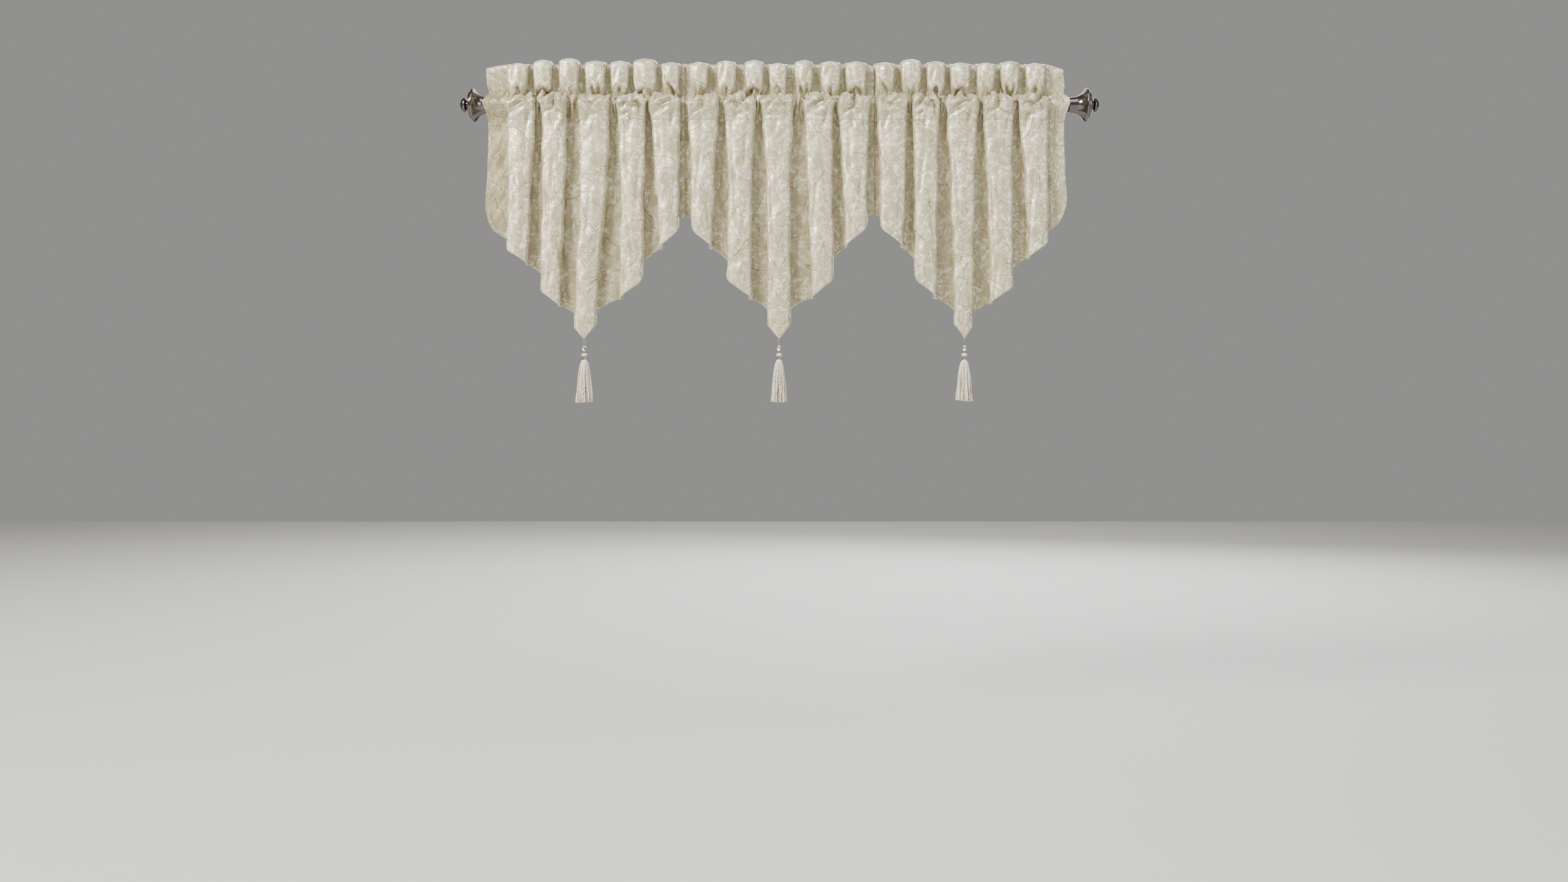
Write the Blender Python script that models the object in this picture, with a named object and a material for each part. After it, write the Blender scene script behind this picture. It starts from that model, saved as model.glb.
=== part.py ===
"""Three ascot valances gathered side by side on one pole.

Each valance is a single sheet of cloth. It runs from a pointed hem up the front, round the pole in a rod
pocket, up into a ruffled heading, over the top of it and down behind the pole to a seam under it. A drop of
wire, beads and a tassel hangs from each point. Everything is in metres, with +X to the right, +Z up, the room
on the -Y side, and the origin on the pole's axis, half way along.
"""

import math
from collections import namedtuple

import bmesh
import bpy
import numpy as np

MM = 0.001

# Driving sizes of the pole and its two finials.
ROD_RADIUS = 14.3 * MM
ROD_HALF_LENGTH = 606.0 * MM
ROD_SIDES = 24
TOUCH_GAP = 0.3 * MM

# Half of a finial's outline from the pole outwards: how far along its axis, and how far out from it.
FinialPoint = namedtuple("FinialPoint", "along out")
FINIAL_OUTLINE = (
    FinialPoint(0.0, 14.8),
    FinialPoint(8.5, 16.2),
    FinialPoint(16.5, 17.6),
    FinialPoint(24.0, 21.3),
    FinialPoint(30.0, 26.8),
    FinialPoint(34.0, 32.4),
    FinialPoint(36.8, 34.3),
    FinialPoint(39.6, 33.2),
    FinialPoint(41.0, 27.4),
    FinialPoint(44.6, 26.6),
    FinialPoint(46.6, 20.5),
    FinialPoint(48.5, 9.6),
    FinialPoint(52.5, 8.8),
    FinialPoint(55.0, 14.8),
    FinialPoint(60.0, 12.8),
    FinialPoint(64.0, 7.0),
    FinialPoint(65.3, 0.0),
)

# Driving sizes of the cloth.
CLOTH_THICK = 1.5 * MM
FLAT_WIDTH = 826.0 * MM
EDGE_STRIP = 50.0 * MM
# A deep fold's foot is drawn in behind it by this share of its width, and a shallow one's is spread as much.
FOLD_TUCK = 0.10
DEEP_FOLD = 20.0
SEAM_GAP = 2.2 * MM
# The cloth's edge strips open by this share round the finials' necks.
STRIP_OPENING = 0.2
POLE_RING = 20.0

# Where the columns of the sheet stand on each puff of the heading, as shares of its cloth.
COLUMN_SHARES = (0.0, 0.21, 0.36, 0.5, 0.64, 0.79)

# Each wave of the cloth as shares of its own cloth: half a valley, the wall, the shoulder and half the crown.
VALLEY_SHARE, WALL_SHARE, SHOULDER_SHARE, CROWN_SHARE = 0.15, 0.11, 0.10, 0.14
SHOULDER_AT = 0.8
# How far the walls' middles and the shoulders stand out, as shares of a crown's.
WALL_OUT, SHOULDER_OUT = 0.5, 0.93

# Skirt folds of each valance, in mm: middle and width in the pocket, half way down the skirt, and at the hem.
Fold = namedtuple("Fold", "pocket_at pocket_wide mid_at mid_wide hem_at hem_wide")
# Puffs of the heading, in mm: middle, width and the height of their tops over the pole's axis.
Puff = namedtuple("Puff", "at wide top")
# One valance, in mm: its two side edges, where its hem ends there and at the point, and its waves.
Valance = namedtuple(
    "Valance", "name left right hem_left hem_point hem_right strip folds puffs top_left top_right"
)

VALANCES = (
    Valance(
        "left", -619.7, -201.5, -221.0, -495.0, -234.0, "left",
        (
            Fold(-540, 55, -543, 47, -550, 46),
            Fold(-471, 50, -472, 48, -478, 42),
            Fold(-388, 60, -388, 56, -402, 48),
            Fold(-310, 56, -308, 48, -310, 49),
            Fold(-239, 58, -235, 48, -229, 40),
        ),
        (
            Puff(-548, 41, 84), Puff(-496, 36, 91), Puff(-441, 39, 94), Puff(-386, 41, 89),
            Puff(-335, 36, 89), Puff(-282, 46, 93), Puff(-228, 36, 86),
        ),
        77, 87,
    ),
    Valance(
        "centre", -200.5, 195.5, -232.0, -495.0, -228.0, None,
        (
            Fold(-160, 60, -161, 47, -165, 43),
            Fold(-83, 60, -83, 48, -85, 52),
            Fold(-5, 61, -3, 49, -2, 49),
            Fold(80, 57, 84, 51, 89, 48),
            Fold(155, 60, 157, 49, 161, 46),
        ),
        (
            Puff(-170, 37, 86), Puff(-112, 37, 89), Puff(-54, 37, 90), Puff(-4, 36, 84),
            Puff(50, 35, 90), Puff(106, 39, 88), Puff(159, 42, 87),
        ),
        86, 80,
    ),
    Valance(
        "right", 196.5, 605.0, -228.0, -495.0, -200.0, "right",
        (
            Fold(234, 58, 236, 52, 232, 46),
            Fold(305, 52, 305, 47, 304, 47),
            Fold(380, 60, 382, 49, 383, 41),
            Fold(455, 58, 459, 52, 462, 48),
            Fold(529, 58, 536, 47, 540, 44),
        ),
        (
            Puff(220, 38, 86), Puff(274, 39, 92), Puff(326, 36, 88), Puff(377, 40, 85),
            Puff(430, 36, 85), Puff(481, 36, 88), Puff(534, 39, 84),
        ),
        80, 74,
    ),
)
VALLEY_TOP = 85.0 * MM
MID_SKIRT = -175.0 * MM
HEM_LEVEL = -360.0 * MM
# The folds' lean from half way down to the hem goes on this far past the hem's own level, as a share.
MOST_LEAN = 1.3

# Levels of the cloth, in mm. A skirt level lies at a share of the way from the hem up to the pocket seam.
# The others lie at a height over the pole's axis, or at a drop below the heading's top where height is None.
# plane is the valleys' distance behind (+) or before (-) the axis, and stand_out that of the crowns from it.
# heading is the share of the heading's seven puffs in the waves, and the rest is the skirt's five folds.
SkirtLevel = namedtuple("SkirtLevel", "share plane stand_out")
SKIRT_LEVELS = (
    SkirtLevel(0.0, -5.0, 29),
    SkirtLevel(0.30, -4.6, 29),
    SkirtLevel(0.57, -4.6, 28),
    SkirtLevel(0.82, -4.5, 27),
)
Level = namedtuple("Level", "height drop plane stand_out heading puff_width")
SEAM_HEIGHT = -38.0
SEAM_PLANE = -4.5
UPPER_LEVELS = (
    Level(SEAM_HEIGHT, 0, SEAM_PLANE, 23, 0.0, 1.0),
    Level(-13, 0, -13.6, 25, 0.0, 1.0),
    Level(0, 0, -17.2, 25, 0.0, 1.0),
    Level(11.9, 0, -11.9, 18, 0.2, 0.9),
    Level(16.1, 0, -2.4, 9, 0.7, 0.72),
    Level(32, 0, -3.2, 21, 1.0, 0.96),
    Level(None, 7, -3.2, 22, 1.0, 1.04),
    Level(None, 0, 0.4, 9, 1.0, 1.0),
    Level(None, 7, 4.0, -7, 1.0, 1.0),
    Level(16.1, 0, 2.4, -5, 0.7, 0.72),
    Level(11.9, 0, 11.9, -6, 0.2, 0.9),
    Level(0, 0, 17.2, -7, 0.0, 1.0),
    Level(-13, 0, 13.6, -8, 0.0, 1.0),
    Level(SEAM_HEIGHT, 0, SEAM_PLANE + SEAM_GAP / MM, -6, 0.0, 1.0),
    Level(SEAM_HEIGHT - 6, 0, SEAM_PLANE + SEAM_GAP / MM, -6, 0.0, 1.0),
)

# Driving sizes of a tassel drop, from the point of the hem down.
EYE_WIDE = 6.4 * MM
EYE_TALL = 12.4 * MM
WIRE_RADIUS = 0.6 * MM
CRYSTAL_RADIUS = 4.9 * MM
CRYSTAL_TALL = 11.4 * MM
LINK_TALL = 4.4 * MM
LINK_RADIUS = 1.0 * MM
RONDELLE_RADIUS = 5.7 * MM
RONDELLE_TALL = 6.8 * MM
SLEEVE_RADIUS = 5.1 * MM
SLEEVE_TALL = 6.8 * MM
TASSEL_HEAD_TALL = 5.0 * MM
TASSEL_HEAD_RADIUS = 5.9 * MM
TASSEL_TALL = {"left": 89.0 * MM, "centre": 88.0 * MM, "right": 86.0 * MM}
TASSEL_RADIUS = {"left": 17.5 * MM, "centre": 16.4 * MM, "right": 17.0 * MM}
STRAND_SECTORS = 12
STRAND_RINGS = 3
STRAND_PARTING = 0.22 * MM
# A strand's knees as shares of its length, and how it flares, sways and differs in length from the next.
STRAND_KNEES = (0.45, 1.0)
STRAND_FLARE = 0.85
STRAND_SWAY = 0.6 * MM
STRAND_UNEVEN = 2.5 * MM
EYE_POINTS, EYE_BEVEL = 14, 1


def clear_scene():
    for item in list(bpy.data.objects):
        bpy.data.objects.remove(item, do_unlink=True)


def material(name, colour, roughness, metallic=0.0, transmission=0.0):
    made = bpy.data.materials.new(name)
    made.use_nodes = True
    shader = made.node_tree.nodes["Principled BSDF"]
    shader.inputs["Base Color"].default_value = (*colour, 1.0)
    shader.inputs["Roughness"].default_value = roughness
    shader.inputs["Metallic"].default_value = metallic
    shader.inputs["Transmission Weight"].default_value = transmission
    return made


def object_from(name, mesh, finish):
    mesh.materials.append(finish)
    made = bpy.data.objects.new(name, mesh)
    bpy.context.scene.collection.objects.link(made)
    return made


def curve_through(knots, values, at, level_at_turns):
    """A cubic curve through the knots. With level_at_turns it keeps between its neighbours' values."""
    knots, values = np.asarray(knots, float), np.asarray(values, float)
    widths = np.diff(knots)
    rises = np.diff(values) / widths
    slopes = np.empty_like(values)
    slopes[0], slopes[-1] = rises[0], rises[-1]
    before, after = rises[:-1], rises[1:]
    if level_at_turns:
        turns = before * after <= 0
        total = np.where(turns, 1.0, before + after)
        slopes[1:-1] = np.where(turns, 0.0, 2 * before * after / total)
    else:
        slopes[1:-1] = (values[2:] - values[:-2]) / (knots[2:] - knots[:-2])
    cell = np.clip(np.searchsorted(knots, at, "right") - 1, 0, len(widths) - 1)
    wide = widths[cell]
    t = (at - knots[cell]) / wide
    return (
        (2 * t**3 - 3 * t**2 + 1) * values[cell]
        + (t**3 - 2 * t**2 + t) * wide * slopes[cell]
        + (3 * t**2 - 2 * t**3) * values[cell + 1]
        + (t**3 - t**2) * wide * slopes[cell + 1]
    )


def wave_knots(valance, count):
    """Cloth positions, 0 to 1 across the valance, of its two edges and of seven knots on each wave."""
    strip = EDGE_STRIP / FLAT_WIDTH
    wave = (1.0 - (strip if valance.strip else 0.0)) / count
    lead = strip if valance.strip == "left" else 0.0
    rising = (VALLEY_SHARE, WALL_SHARE, SHOULDER_SHARE, CROWN_SHARE)
    steps = np.cumsum((*rising, CROWN_SHARE, SHOULDER_SHARE, WALL_SHARE))
    inner = [lead + wave * (index + step) for index in range(count) for step in steps]
    return np.array([0.0, *inner, 1.0])


def column_places(valance):
    """Cloth positions of the sheet's columns: six to a puff, one at each side edge, one in the strip."""
    count = len(valance.puffs)
    strip = EDGE_STRIP / FLAT_WIDTH if valance.strip else 0.0
    wave = (1.0 - strip) / count
    lead = strip if valance.strip == "left" else 0.0
    inner = [lead + wave * (index + share) for index in range(count) for share in COLUMN_SHARES]
    ends = {"left": [0.0, strip / 2], "right": [1.0 - strip, 1.0 - strip / 2]}.get(valance.strip, [])
    return np.array(sorted([*inner, *ends, 1.0]))


def strip_opening(valance, at):
    """How much wider the pocket is at each cloth position: only in the edge strip, most at its edge."""
    strip = EDGE_STRIP / FLAT_WIDTH
    if valance.strip == "left":
        nearness = 1 - at / strip
    elif valance.strip == "right":
        nearness = 1 - (1 - at) / strip
    else:
        nearness = np.zeros_like(at)
    return 1 + STRIP_OPENING * np.clip(nearness, 0.0, 1.0)


def plan_of(valance, middles, widths, tuck, at):
    """One level in plan, in mm: where the cloth lies across, and its share of standing out, 1 on a crown."""
    across, out = [valance.left], [0.0]
    for middle, wide in zip(middles, widths):
        half = wide / 2
        root = half * (1 - 2 * tuck)
        shoulder = half * SHOULDER_AT
        across += [middle + side for side in (-root, -half, -shoulder, 0.0, shoulder, half, root)]
        out += [0.0, WALL_OUT, SHOULDER_OUT, 1.0, SHOULDER_OUT, WALL_OUT, 0.0]
    knots = wave_knots(valance, len(middles))
    return (
        curve_through(knots, [*across, valance.right], at, False),
        curve_through(knots, [*out, 0.0], at, True),
    )


def tuck_of(stand_out):
    return FOLD_TUCK if stand_out > DEEP_FOLD else -FOLD_TUCK


def skirt_across(valance, at, height, tuck):
    """Where the skirt's cloth lies across at each height, between its three plans, and how it stands out."""
    folds = valance.folds
    tables = (
        ([fold.pocket_at for fold in folds], [fold.pocket_wide for fold in folds]),
        ([fold.mid_at for fold in folds], [fold.mid_wide for fold in folds]),
        ([fold.hem_at for fold in folds], [fold.hem_wide for fold in folds]),
    )
    plans = [plan_of(valance, middles, widths, tuck, at) for middles, widths in tables]
    upper = np.clip(height / MID_SKIRT, 0.0, 1.0)
    lower = np.clip((height - MID_SKIRT) / (HEM_LEVEL - MID_SKIRT), 0.0, MOST_LEAN)
    across = plans[0][0] * (1 - upper) + plans[1][0] * upper
    return (across + (plans[2][0] - plans[1][0]) * lower) * MM, plans[1][1]


def hem_height(valance, at):
    """Height of the cut hem, a straight slope on the flat cloth from each side edge to the rounded point."""
    knots = wave_knots(valance, len(valance.folds))
    point = knots[len(knots) // 2]
    rise = np.where(at < point, valance.hem_left, valance.hem_right) - valance.hem_point
    span = np.where(at < point, point, 1 - point)
    away = np.abs(at - point) / span
    return (valance.hem_point + rise * away) * MM


def top_height(valance, at):
    """Height of the heading's top edge: a little dome on each puff, level between two of them."""
    knots = wave_knots(valance, len(valance.puffs))
    tops = [valance.top_left * MM]
    for puff in valance.puffs:
        crown = puff.top * MM
        wall = (crown + VALLEY_TOP) / 2
        tops += [VALLEY_TOP, wall, crown, crown, crown, wall, VALLEY_TOP]
    return curve_through(knots, [*tops, valance.top_right * MM], at, True)


def valance_grid(valance):
    """Middle surface of one valance: rows from the front hem over the heading to the seam behind."""
    at = column_places(valance)
    hem, top = hem_height(valance, at), top_height(valance, at)
    opening = strip_opening(valance, at)
    rows = []
    for level in SKIRT_LEVELS:
        height = hem + (SEAM_HEIGHT * MM - hem) * level.share
        across, out = skirt_across(valance, at, height, FOLD_TUCK)
        rows.append((across, (level.plane - level.stand_out * out) * MM, height))
    for level in UPPER_LEVELS:
        height = top - level.drop * MM if level.height is None else np.full_like(at, level.height * MM)
        plane = np.full_like(at, level.plane)
        if level.height is not None and abs(level.height) < POLE_RING:
            height, plane = height * opening, plane * opening
        tuck = tuck_of(level.stand_out)
        across, out = skirt_across(valance, at, np.minimum(height, 0.0), tuck)
        puffs = valance.puffs
        wide = [p.wide * level.puff_width for p in puffs]
        puff_across, puff_out = plan_of(valance, [p.at for p in puffs], wide, tuck, at)
        across = across * (1 - level.heading) + puff_across * MM * level.heading
        out = out * (1 - level.heading) + puff_out * level.heading
        rows.append((across, (plane - level.stand_out * out) * MM, height))
    return np.array([np.stack(row, axis=-1) for row in rows])


def make_valance(valance, finish):
    grid = valance_grid(valance)
    mesh = bpy.data.meshes.new("valance_" + valance.name)
    row, column = np.meshgrid(np.arange(grid.shape[0] - 1), np.arange(grid.shape[1] - 1), indexing="ij")
    first = (row * grid.shape[1] + column).ravel()
    step = grid.shape[1]
    faces = np.stack([first, first + 1, first + step + 1, first + step], axis=-1)
    mesh.from_pydata(grid.reshape(-1, 3).tolist(), [], faces.tolist())
    mesh.shade_smooth()
    made = object_from("valance_" + valance.name, mesh, finish)
    # Triangles come first, so that both sides of the cloth are parted along the same diagonals.
    parted = made.modifiers.new("triangles", "TRIANGULATE")
    parted.quad_method = "SHORTEST_DIAGONAL"
    cloth = made.modifiers.new("cloth thickness", "SOLIDIFY")
    cloth.thickness = CLOTH_THICK
    cloth.offset = 0.0
    return made


def turned(name, outline, sides, finish, smooth=True):
    """A closed solid turned about Z from (height, radius) pairs, whose ends are flat or come to a point."""
    mesh = bpy.data.meshes.new(name)
    bm = bmesh.new()
    ends = [(height, radius) for height, radius in outline]
    if ends[0][1] > 0:
        ends.insert(0, (ends[0][0], 0.0))
    if ends[-1][1] > 0:
        ends.append((ends[-1][0], 0.0))
    line = [bm.verts.new((radius, 0.0, height)) for height, radius in ends]
    edges = [bm.edges.new(pair) for pair in zip(line, line[1:])]
    bmesh.ops.spin(
        bm, geom=line + edges, cent=(0, 0, 0), axis=(0, 0, 1), angle=2 * math.pi, steps=sides, use_merge=True
    )
    bmesh.ops.remove_doubles(bm, verts=bm.verts, dist=1e-6)
    bmesh.ops.recalc_face_normals(bm, faces=bm.faces)
    bm.to_mesh(mesh)
    bm.free()
    if smooth:
        mesh.shade_smooth()
        mesh.set_sharp_from_angle(angle=math.radians(40))
    return object_from(name, mesh, finish)


def make_pole(finish):
    rod = turned("rod", [(-ROD_HALF_LENGTH, ROD_RADIUS), (ROD_HALF_LENGTH, ROD_RADIUS)], ROD_SIDES, finish)
    rod.rotation_euler = (0, math.pi / 2, 0)
    outline = [(point.along * MM, point.out * MM) for point in FINIAL_OUTLINE]
    for name, side in (("finial_left", -1), ("finial_right", 1)):
        finial = turned(name, outline, ROD_SIDES, finish)
        finial.location = (side * (ROD_HALF_LENGTH + TOUCH_GAP), 0, 0)
        finial.rotation_euler = (0, side * math.pi / 2, 0)


def make_eye(name, top, finish):
    """The wire loop through the hem's point: an upright oval ring."""
    curve = bpy.data.curves.new(name, "CURVE")
    curve.dimensions = "3D"
    spline = curve.splines.new("POLY")
    spline.points.add(EYE_POINTS - 1)
    wide, tall = EYE_WIDE / 2 - WIRE_RADIUS, EYE_TALL / 2 - WIRE_RADIUS
    for index, point in enumerate(spline.points):
        angle = 2 * math.pi * index / EYE_POINTS
        point.co = (wide * math.sin(angle), 0, tall * math.cos(angle), 1)
    spline.use_cyclic_u = True
    curve.bevel_depth = WIRE_RADIUS
    curve.bevel_resolution = EYE_BEVEL
    made = object_from(name, curve, finish)
    made.location = (top[0], top[1], top[2] - EYE_TALL / 2)
    return made


def make_tassel(name, top, tall, radius, finish):
    """A turned head whose underside is parted into faces, each drawn out and down into one strand of yarn."""
    mesh = bpy.data.meshes.new(name)
    bm = bmesh.new()
    angles = [2 * math.pi * k / STRAND_SECTORS for k in range(STRAND_SECTORS)]

    def ring(height, out):
        return [bm.verts.new((out * math.cos(a), out * math.sin(a), height)) for a in angles]

    def band(upper, lower):
        return [
            bm.faces.new((lower[k], lower[(k + 1) % len(lower)], upper[(k + 1) % len(upper)], upper[k]))
            for k in range(len(lower))
        ]

    rim = ring(0.0, SLEEVE_RADIUS * 0.92)
    bm.faces.new(rim)
    lower = ring(-TASSEL_HEAD_TALL, TASSEL_HEAD_RADIUS)
    band(rim, lower)
    roots = []
    for index in range(STRAND_RINGS - 1, 0, -1):
        inner = ring(-TASSEL_HEAD_TALL, TASSEL_HEAD_RADIUS * index / STRAND_RINGS)
        roots += band(lower, inner)
        lower = inner
    centre = bm.verts.new((0, 0, -TASSEL_HEAD_TALL))
    for this, following in zip(lower, lower[1:] + lower[:1]):
        roots.append(bm.faces.new((this, centre, following)))
    bmesh.ops.recalc_face_normals(bm, faces=bm.faces)
    bmesh.ops.inset_individual(bm, faces=roots, thickness=STRAND_PARTING)
    outermost = TASSEL_HEAD_RADIUS * (1 - 0.5 / STRAND_RINGS)
    spread = radius / outermost - 1
    for index, root in enumerate(roots):
        out = root.calc_center_median()
        reach = tall - TASSEL_HEAD_TALL - STRAND_UNEVEN * (1 + math.sin(index * 2.4))
        strand, done = root, 0.0
        for share in STRAND_KNEES:
            strand = bmesh.ops.extrude_discrete_faces(bm, faces=[strand])["faces"][0]
            grown = share**STRAND_FLARE - done**STRAND_FLARE
            sway = STRAND_SWAY * math.sin(index * 1.7 + share * 3)
            move = (out.x * spread * grown + sway, out.y * spread * grown, -reach * (share - done))
            bmesh.ops.translate(bm, verts=strand.verts, vec=move)
            done = share
    bmesh.ops.recalc_face_normals(bm, faces=bm.faces)
    bm.to_mesh(mesh)
    bm.free()
    made = object_from(name, mesh, finish)
    made.location = top
    return made


def oval_outline(radius, tall, steps):
    """Half an oval from pole to pole, as (height, radius) pairs."""
    angles = np.linspace(-math.pi / 2, math.pi / 2, steps + 1)
    return [(tall / 2 * math.sin(a), max(radius * math.cos(a), 0.0)) for a in angles]


def make_drop(valance, finishes):
    """The drop under one point, each piece hung just under the one above it."""
    side = valance.name
    grid = valance_grid(valance)[0]
    point = grid[np.argmin(grid[:, 2])]
    foot = point - np.array([0, 0, TOUCH_GAP])

    def below(tall):
        foot[2] -= tall + TOUCH_GAP
        return tuple(foot + np.array([0, 0, TOUCH_GAP + tall]))

    make_eye("drop_eye_" + side, below(EYE_TALL), finishes["silver"])
    r, h = CRYSTAL_RADIUS, CRYSTAL_TALL
    upper_facets = [(-0.42 * h, r), (-0.12 * h, 0.62 * r), (0, 0.3 * r)]
    lower_facets = [(-h - height, radius) for height, radius in upper_facets[::-1]]
    crystal = turned("crystal_" + side, lower_facets + upper_facets, 8, finishes["crystal"], smooth=False)
    crystal.location = below(h)
    link = turned("link_" + side, [(-LINK_TALL, LINK_RADIUS), (0, LINK_RADIUS)], 8, finishes["silver"])
    link.location = below(LINK_TALL)
    outline = [(z - RONDELLE_TALL / 2, x) for z, x in oval_outline(RONDELLE_RADIUS, RONDELLE_TALL, 8)]
    rondelle = turned("rondelle_" + side, outline, 14, finishes["pearl"])
    rondelle.location = below(RONDELLE_TALL)
    r, h = SLEEVE_RADIUS, SLEEVE_TALL
    skirt_rim = [(-h, r), (-0.82 * h, r), (-0.74 * h, 0.9 * r)]
    neck = [(-0.3 * h, 0.86 * r), (-0.22 * h, 0.94 * r), (0, 0.7 * r)]
    sleeve = turned("sleeve_" + side, skirt_rim + neck, 14, finishes["silver"])
    sleeve.location = below(h)
    make_tassel("tassel_" + side, below(0.0), TASSEL_TALL[side], TASSEL_RADIUS[side], finishes["yarn"])


def main():
    clear_scene()
    finishes = {
        "pewter": material("pewter", (0.20, 0.18, 0.165), 0.24, metallic=1.0),
        "jacquard": material("ivory jacquard", (0.66, 0.62, 0.53), 0.55),
        "silver": material("silver", (0.70, 0.68, 0.64), 0.25, metallic=1.0),
        "crystal": material("crystal", (0.95, 0.95, 0.93), 0.04, transmission=0.9),
        "pearl": material("pearl", (0.82, 0.79, 0.72), 0.20),
        "yarn": material("yarn", (0.70, 0.65, 0.55), 0.60),
    }
    make_pole(finishes["pewter"])
    for valance in VALANCES:
        make_valance(valance, finishes["jacquard"])
        make_drop(valance, finishes)


main()
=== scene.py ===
"""The looks of three ascot valances gathered side by side on one pole.

Each valance is a surface of two parameters, across the flat cloth and along it, through the same folds, puffs
and levels as its solid, with creases listed one by one. The pole, wires, beads and tassels are turned
profiles and profiles carried along a path. Everything is in metres, in the frame of the solids.
"""

import math
from collections import namedtuple

import bmesh
import bpy
import numpy as np
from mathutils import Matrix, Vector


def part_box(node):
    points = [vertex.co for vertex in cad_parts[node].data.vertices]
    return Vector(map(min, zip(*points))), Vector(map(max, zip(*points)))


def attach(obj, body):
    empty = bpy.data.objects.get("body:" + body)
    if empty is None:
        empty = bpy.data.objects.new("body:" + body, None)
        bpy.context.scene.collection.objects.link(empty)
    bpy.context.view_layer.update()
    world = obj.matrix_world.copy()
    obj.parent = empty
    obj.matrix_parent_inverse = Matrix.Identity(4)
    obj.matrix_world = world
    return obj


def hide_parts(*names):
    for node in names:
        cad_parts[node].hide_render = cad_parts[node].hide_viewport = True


bl_info = {
    "name": "Ascot valances on a pole",
    "version": (1, 0, 0),
    "blender": (4, 5, 0),
    "location": "View3D > Sidebar > Valances",
    "description": "Gathered jacquard ascot valances with tassel drops on a pewter pole",
    "category": "Add Mesh",
}

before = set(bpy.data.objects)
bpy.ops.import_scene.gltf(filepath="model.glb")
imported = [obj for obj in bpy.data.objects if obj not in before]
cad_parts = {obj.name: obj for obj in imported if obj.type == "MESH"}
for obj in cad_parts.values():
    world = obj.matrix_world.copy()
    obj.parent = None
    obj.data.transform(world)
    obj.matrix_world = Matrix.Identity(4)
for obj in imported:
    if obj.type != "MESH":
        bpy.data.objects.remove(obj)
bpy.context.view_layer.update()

MM = 0.001
SIDES = ("left", "centre", "right")

# Driving sizes of the pole and its two finials.
ROD_RADIUS = 14.3 * MM
ROD_HALF_LENGTH = 606.0 * MM
ROD_CHAMFER = 0.6 * MM
TOUCH_GAP = 0.3 * MM

# Half of a finial's outline from the pole outwards, in mm: how far along its axis, and how far out from it.
FINIAL_OUTLINE = (
    (0.0, 13.6), (0.5, 14.8), (8.5, 16.2), (16.5, 17.6), (24.0, 21.3), (30.0, 26.8), (33.6, 31.8),
    (35.4, 34.0), (37.0, 34.3), (38.8, 33.8), (39.6, 32.2), (39.9, 28.6), (41.0, 27.8), (43.4, 27.6),
    (44.9, 26.4), (46.0, 22.8), (47.4, 14.0), (48.7, 9.4), (51.6, 8.9), (53.0, 10.6), (53.9, 14.0),
    (55.4, 14.9), (57.6, 14.4), (60.4, 12.2), (63.6, 7.4), (65.0, 3.2), (65.3, 0.0),
)
# A finial is dark where its outline lies lower than at this far on both sides, between these depths.
GROOVE_REACH, GROOVE_DEPTHS = 2.6 * MM, (0.35 * MM, 1.5 * MM)

# Driving sizes of the cloth.
FLAT_WIDTH = 826.0 * MM
STRIP_SHARE = 50.0 * MM / FLAT_WIDTH
# A deep fold's foot is drawn in behind it by this share of its width, and a shallow one's is spread as much.
FOLD_TUCK = 0.10
DEEP_FOLD = 20.0
SEAM_GAP = 2.2 * MM
# The cloth's edge strips open by this share round the finials' necks.
STRIP_OPENING = 0.2
POLE_RING = 20.0

# Each wave of the cloth has seven knots, at shares of its own cloth: half a valley, the wall, the shoulder
# and half the crown, and the same back down.
KNOTS_A_WAVE = 7
VALLEY_SHARE, WALL_SHARE, SHOULDER_SHARE, CROWN_SHARE = 0.15, 0.11, 0.10, 0.14
SHOULDER_AT = 0.8
# How far the walls' middles and the shoulders stand out, as shares of a crown's.
WALL_OUT, SHOULDER_OUT = 0.47, 0.86

# Skirt folds of each valance, in mm: middle and width in the pocket, half way down the skirt, and at the hem.
Fold = namedtuple("Fold", "pocket_at pocket_wide mid_at mid_wide hem_at hem_wide")
# Puffs of the heading, in mm: middle, width and the height of their tops over the pole's axis.
Puff = namedtuple("Puff", "at wide top")
# One valance, in mm: its two side edges, where its hem ends there and at the point, and its waves.
Valance = namedtuple(
    "Valance", "name left right hem_left hem_point hem_right strip folds puffs top_left top_right"
)

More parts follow.
